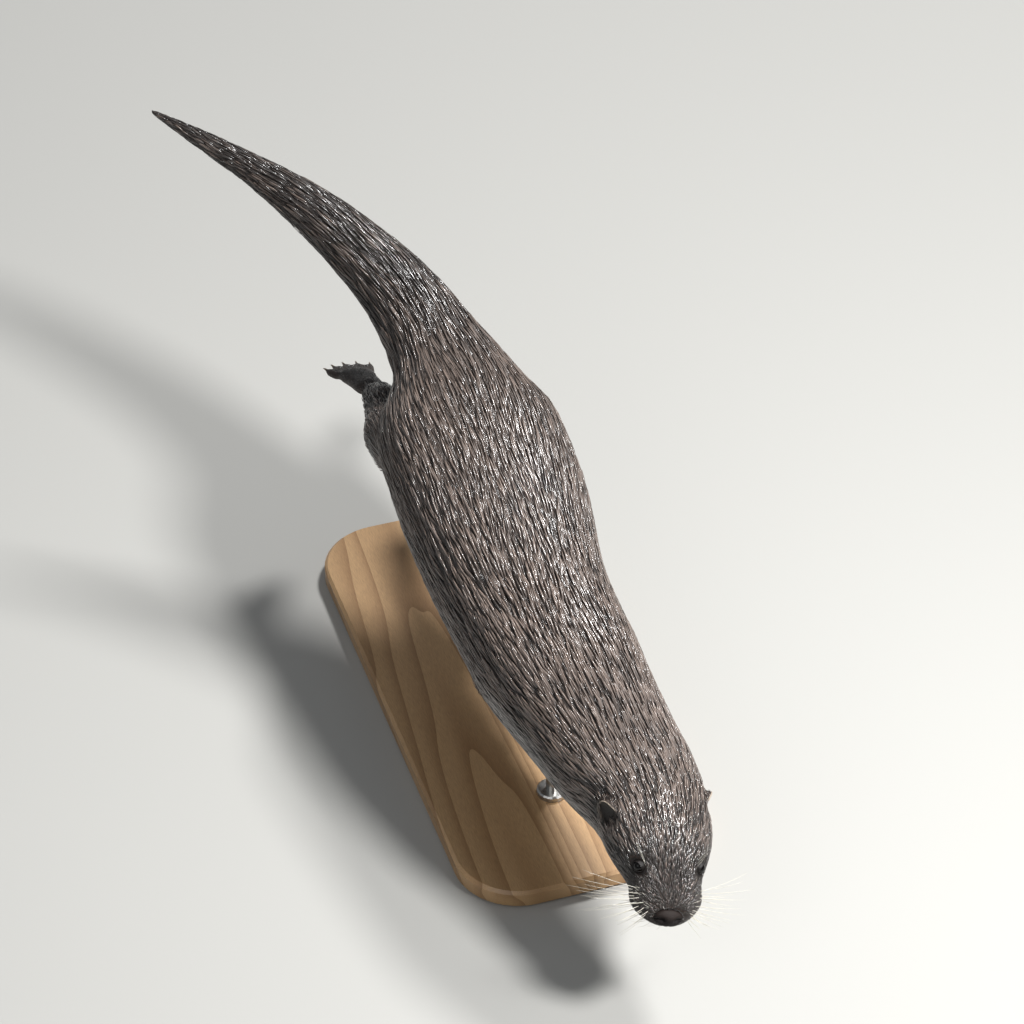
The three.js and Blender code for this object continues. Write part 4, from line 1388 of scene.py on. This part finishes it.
# Whiskers: pale, stiff and smooth hair that glints along its length, in rows on the muzzle
whiskerForm = {
    "seed": 5,
    # places are millimetres forward, out and up from the nose's middle, and ways are shares:
    # the first whisker's, then the change back along its row, and so on
    "rows": 4, "inRow": 6,          # on each side of the muzzle
    "place": ((-6, 18, 0), (-19, 8, 0), (0, 0, -13)),
    "placeSpread": 1.0,
    "long": (28 * mm, 60 * mm),
    "fan": (52, 96),                # degrees from straight ahead, front and back whiskers
    "fanSpread": 4,
    "sweep": 12,                    # degrees by which they bend back
    "lift": (0.35, -0.8),           # upwards at the root in the top row, and the change down the rows
    "laterLift": (0.1, -0.95),      # the same at the tip
    "longSpread": (0.7, 1.1),
    # short bristles between them, with changes back, out and down
    "bristles": 34, "bristleLong": (3 * mm, 9 * mm),
    "bristlePlace": ((-5, 12, 3), (-20, 6, 0), (0, 6, 0), (0, 0, -17)),
    "bristleWay": ((0.1, 0.8, 0.3), (-0.5, 0, 0), (0, 0, 0), (0, 0, -0.9)),
    "bristleSpread": 0.15, "bristleBend": (-0.3, 0, -0.2),
    # over each eye, from the eye's middle, with the change from one to the next
    "brow": 3, "browLong": 26 * mm,
    "browPlace": ((2, -3, 7), (-3, 0, 0)),
    "browWay": (-0.2, 0.5, 1.0), "browLater": (-1.0, 0.6, 0.6),
    # under the chin, with the change out to the side
    "chin": 14, "chinLong": 26 * mm,
    "chinPlace": ((-6, 0, -13), (-4, 9, 0)),
    "chinWay": ((0.35, 0, -1.0), (0, 0.5, 0)),
    "chinSpread": 0.25, "chinBend": ((-0.6, 0, 0), (0, 0.4, 0)),
    "chinLongSpread": (0.6, 1.1),
    # width of a full whisker, and the shares of it that bristles, brow and chin have
    "thick": 0.5 * mm, "tipThick": 0.12 * mm, "taper": 1.3,
    "stout": {"bristle": 0.75, "brow": 0.6, "chin": 0.7},
    "bend": 0.75,
    "sunk": 1.5 * mm,               # how far the root lies in the skin
    "sides": 6, "steps": 12,
    "colour": "#d9d4c6",
    "mottle": 6 * mm, "mottleLevels": {"To Min": 0.6, "To Max": 1.15},
    "shader": {"Roughness": 0.25, "IOR": 1.55, "Specular IOR Level": 0.6},
}


def stepped(rows, *shares):
    # the first row, changed by a share of each later row
    made = np.array(rows[0], float)
    for row, share in zip(rows[1:], shares):
        made = made + np.array(row) * share
    return made


def whiskerPaths():
    # root, first way, later way, length and stoutness: all in the head's axes
    form = whiskerForm
    stout = form["stout"]
    draw = np.random.default_rng(form["seed"])
    paths = []
    for eyeName in eyeNodes:
        side = sideOf(eyeName)
        sided = (1, side, 1)
        for row in range(form["rows"]):
            for i in range(form["inRow"]):
                back = i / (form["inRow"] - 1)
                down = row / (form["rows"] - 1)
                place = stepped(form["place"], back, down) * sided * mm
                place += draw.normal(size=3) * form["placeSpread"] * mm
                fan = np.interp(back, [0, 1], form["fan"]) + draw.normal() * form["fanSpread"]
                ways = []
                for turn, (top, change) in ((0, form["lift"]), (form["sweep"], form["laterLift"])):
                    angle = math.radians(fan) + math.radians(turn)
                    way = np.array([math.cos(angle), side * math.sin(angle), top + change * down])
                    ways.append(unit(way))
                length = np.interp(back, [0, 1], form["long"]) * draw.uniform(*form["longSpread"])
                paths.append((place, *ways, length, 1.0))
        for _ in range(form["bristles"]):
            shares = draw.random(3)
            place = stepped(form["bristlePlace"], *shares) * sided * mm
            start = stepped(form["bristleWay"], *shares) * sided
            start += form["bristleSpread"] * draw.normal(size=3)
            length = draw.uniform(*form["bristleLong"])
            later = unit(start + form["bristleBend"])
            paths.append((place, unit(start), later, length, stout["bristle"]))
        for i in range(form["brow"]):
            place = inHead(eyeMiddles[eyeName][None])[0] + stepped(form["browPlace"], i) * sided * mm
            length = form["browLong"] * draw.uniform(*form["longSpread"])
            ways = (unit(np.array(form[key]) * sided) for key in ("browWay", "browLater"))
            paths.append((place, *ways, length, stout["brow"]))
    for i in range(form["chin"]):
        across = i / (form["chin"] - 1) * 2 - 1
        side = 1 if across > 0 else -1
        place = stepped(form["chinPlace"], abs(across)) * (1, side, 1) * mm
        length = form["chinLong"] * draw.uniform(*form["chinLongSpread"])
        start = stepped(form["chinWay"], across) + form["chinSpread"] * draw.normal(size=3)
        later = unit(start + stepped(form["chinBend"], across))
        paths.append((place, unit(start), later, length, stout["chin"]))
    return paths


def makeWhiskers():
    sides, steps = whiskerForm["sides"], whiskerForm["steps"]
    share = np.linspace(0, 1, steps + 1)
    points = []
    for place, start, later, length, stout in whiskerPaths():
        first, last = start @ headAxes, later @ headAxes
        root = onSkin(fromHead(place[None]))[0][0] - first * whiskerForm["sunk"]
        bend = share[:, None] ** 2 * (last - first) * whiskerForm["bend"]
        line = root + length * (share[:, None] * first + bend)
        tangents = unit(np.gradient(line, axis=0))
        sideways = unit(np.cross(tangents, headUp + 0.3 * headForward))  # no whisker lies that way
        upward = np.cross(sideways, tangents)
        thin = share ** whiskerForm["taper"]
        radius = (whiskerForm["thick"] * (1 - thin) + whiskerForm["tipThick"] * thin) / 2 * stout
        for turn in np.arange(sides) * 2 * math.pi / sides:
            points.append(line + radius[:, None] * (sideways * math.cos(turn) + upward * math.sin(turn)))
    count = len(points) // sides
    points = np.array(points).reshape(count, sides, steps + 1, 3).transpose(0, 2, 1, 3).reshape(-1, 3)
    # each whisker is a tube of rings with a flat cap at either end
    quads = []
    for ring in range(0, steps * sides, sides):
        for i in range(sides):
            j = (i + 1) % sides
            quads.append((ring + i, ring + j, ring + sides + j, ring + sides + i))
    caps = [(0, i + 1, i) for i in range(1, sides - 1)]
    caps += [(steps * sides, steps * sides + i, steps * sides + i + 1) for i in range(1, sides - 1)]
    starts = (np.arange(count) * sides * (steps + 1))[:, None, None]
    quads = (np.array(quads)[None] + starts).reshape(-1, 4)
    caps = (np.array(caps)[None] + starts).reshape(-1, 3)
    mesh = meshFromArrays("whiskers", points, quads, caps, np.ones(len(quads) + len(caps), bool))
    material, tree, shader = newMaterial("pale whisker", whiskerForm["shader"])
    place = addNode(tree, "TexCoord").outputs["Object"]
    noise = addNode(tree, "TexNoise", {"Scale": 1 / whiskerForm["mottle"], "Detail": 1.0},
                    {"Vector": place}).outputs["Fac"]
    level = addNode(tree, "MapRange", whiskerForm["mottleLevels"], {"Value": noise}).outputs["Result"]
    shaded = addNode(tree, "VectorMath", {"operation": "SCALE", 0: linear(whiskerForm["colour"])[:3]},
                     {"Scale": level}).outputs[0]
    tree.links.new(shaded, shader.inputs["Base Color"])
    keepPiece(newObject("whiskers", mesh), "head_coat", material)


makeWhiskers()
print("9 whiskers made")


# The stand: oiled oak, with pale and darker bands under a satin film, and two rods of steel
# that was brushed round them, which spreads its reflections upwards
oakLook = {
    "earlyColour": "#b8946a", "lateColour": "#94704a",
    "board": 110 * mm,           # how far apart the grain's slow bends are, across the board
    "boardDrawn": 0.06,          # how much coarser they are along it
    "rings": 17, "lateWood": 2.2,  # growth rings, and how narrow their late wood is
    "pore": 0.35 * mm, "poreDrawn": 0.04,  # a little coarser than real ones, so that they show
    "poreSpan": (0.35, 0.6), "poreLevels": (0.78, 1.05),
    "poreBump": {"Strength": 0.25, "Distance": 0.15 * mm},
    "shader": {"Roughness": 0.42, "IOR": 1.5, "Coat Weight": 0.15, "Coat Roughness": 0.3},
}
steelLook = {
    "colour": "#b4b3b0",
    # a scratch's height up the rod, coarser than real so that it shows, and how drawn out it is
    "scratch": 0.25 * mm, "scratchDrawn": 0.05,
    "roughness": {"To Min": 0.2, "To Max": 0.42},
    "scratchBump": {"Strength": 0.15, "Distance": 0.05 * mm},
    "shader": {"Metallic": 1.0, "Roughness": 0.3},
}


def oakMaterial():
    material, tree, shader = newMaterial("oiled oak", oakLook["shader"])
    place = addNode(tree, "TexCoord").outputs["Object"]
    # growth rings: level lines of a slow field that is drawn out along the base
    across = 1 / oakLook["board"]
    stretch = (oakLook["boardDrawn"] * across, across, across)
    field = drawnNoise(tree, place, stretch, {"Detail": 2.0, "Roughness": 0.35})
    rings = addNode(tree, "Math", {"operation": "MULTIPLY", 1: oakLook["rings"]}, {0: field}).outputs[0]
    late = addNode(tree, "Math", {"operation": "FRACT"}, {0: rings}).outputs[0]
    late = addNode(tree, "Math", {"operation": "POWER", 1: oakLook["lateWood"]}, {0: late}).outputs[0]
    wood = addNode(tree, "Mix", {"data_type": "RGBA", 6: linear(oakLook["earlyColour"]),
                                 7: linear(oakLook["lateColour"])}, {0: late}).outputs[2]
    fine = 1 / oakLook["pore"]
    pores = drawnNoise(tree, place, (oakLook["poreDrawn"] * fine, fine, fine), {"Detail": 2.0})
    shadeBy(tree, shader, wood, pores, oakLook["poreSpan"], oakLook["poreLevels"])
    bump = addNode(tree, "Bump", oakLook["poreBump"], {"Height": pores})
    tree.links.new(bump.outputs[0], shader.inputs["Normal"])
    return material


def steelMaterial():
    material, tree, shader = newMaterial("brushed steel", steelLook["shader"])
    shader.inputs["Base Color"].default_value = linear(steelLook["colour"])
    place = addNode(tree, "TexCoord").outputs["Object"]
    fine = 1 / steelLook["scratch"]
    drawn = steelLook["scratchDrawn"] * fine
    scratches = drawnNoise(tree, place, (drawn, drawn, fine), {"Detail": 2.0})
    rough = addNode(tree, "MapRange", steelLook["roughness"], {"Value": scratches}).outputs["Result"]
    tree.links.new(rough, shader.inputs["Roughness"])
    bump = addNode(tree, "Bump", steelLook["scratchBump"], {"Height": scratches})
    tree.links.new(bump.outputs[0], shader.inputs["Normal"])
    return material


paint(nodes["stand_base"], oakMaterial())
steel = steelMaterial()
for rodName in ("stand_rod_front", "stand_rod_rear"):
    paint(nodes[rodName], steel)
print("10 stand finished")


# Floor, light and camera: matt paper takes soft shadows and shows no shine
studio = {
    "floorColour": "#abaaa6", "floorHalf": 6.0, "sky": "#dfe4ea", "skyPower": 0.3,
    "middle": (-0.038, -0.001, 0.225),    # in the loin, which camera and lamps are turned to
    "azimuth": 72.0, "elevation": 40.0,   # from there to the camera
    "distance": 3.6, "lens": 130.36, "sensor": 36,
    "aimAcross": 0.0171, "aimUp": -0.0074,
    # direction from the animal, distance, size and watts of each lamp
    "lamps": {
        "key": ((-0.35, 0.47, 0.80), 6.0, 1.1, 340),
        "crown": ((0.58, 0.42, 0.78), 2.13, 0.4, 65),
        "front": ((0.5, -0.5, 0.6), 3.0, 1.8, 12),
    },
}


def makeFloor():
    shaped = bmesh.new()
    bmesh.ops.create_grid(shaped, x_segments=1, y_segments=1, size=studio["floorHalf"])
    floor = newObject("floor", meshFrom(shaped, "floor"))
    looks = {"Roughness": 0.85, "Base Color": linear(studio["floorColour"])}
    paint(floor, newMaterial("matt studio paper", looks)[0])


def makeLamps(middle):
    for name, (way, distance, size, watts) in studio["lamps"].items():
        lamp = bpy.data.lights.new(name, "AREA")
        lamp.shape = "DISK"
        lamp.size = size
        lamp.energy = watts
        held = newObject(name, lamp)
        way = Vector(way).normalized()
        held.location = middle + way * distance
        held.rotation_euler = way.to_track_quat("Z", "Y").to_euler()
    world = bpy.data.worlds.new("studio")
    world.use_nodes = True
    background = world.node_tree.nodes["Background"]
    background.inputs["Color"].default_value = linear(studio["sky"])
    background.inputs["Strength"].default_value = studio["skyPower"]
    bpy.context.scene.world = world


def makeCamera(middle):
    azimuth, elevation = math.radians(studio["azimuth"]), math.radians(studio["elevation"])
    right = Vector((math.cos(azimuth), math.sin(azimuth), 0))
    level = Vector((math.sin(azimuth), -math.cos(azimuth), 0))
    back = level * math.cos(elevation) + Vector((0, 0, math.sin(elevation)))
    up = back.cross(right)
    lens = bpy.data.cameras.new("camera")
    lens.lens = studio["lens"]
    lens.sensor_width = studio["sensor"]
    camera = newObject("camera", lens)
    start = middle + back * studio["distance"]
    target = middle + right * studio["aimAcross"] + up * studio["aimUp"]
    camera.location = start
    camera.rotation_euler = (start - target).to_track_quat("Z", "Y").to_euler()
    bpy.context.scene.camera = camera


loinMiddle = Vector(studio["middle"])
makeFloor()
makeLamps(loinMiddle)
makeCamera(loinMiddle)
bpy.context.scene.view_settings.view_transform = "Standard"
print("11 floor, light and camera set")
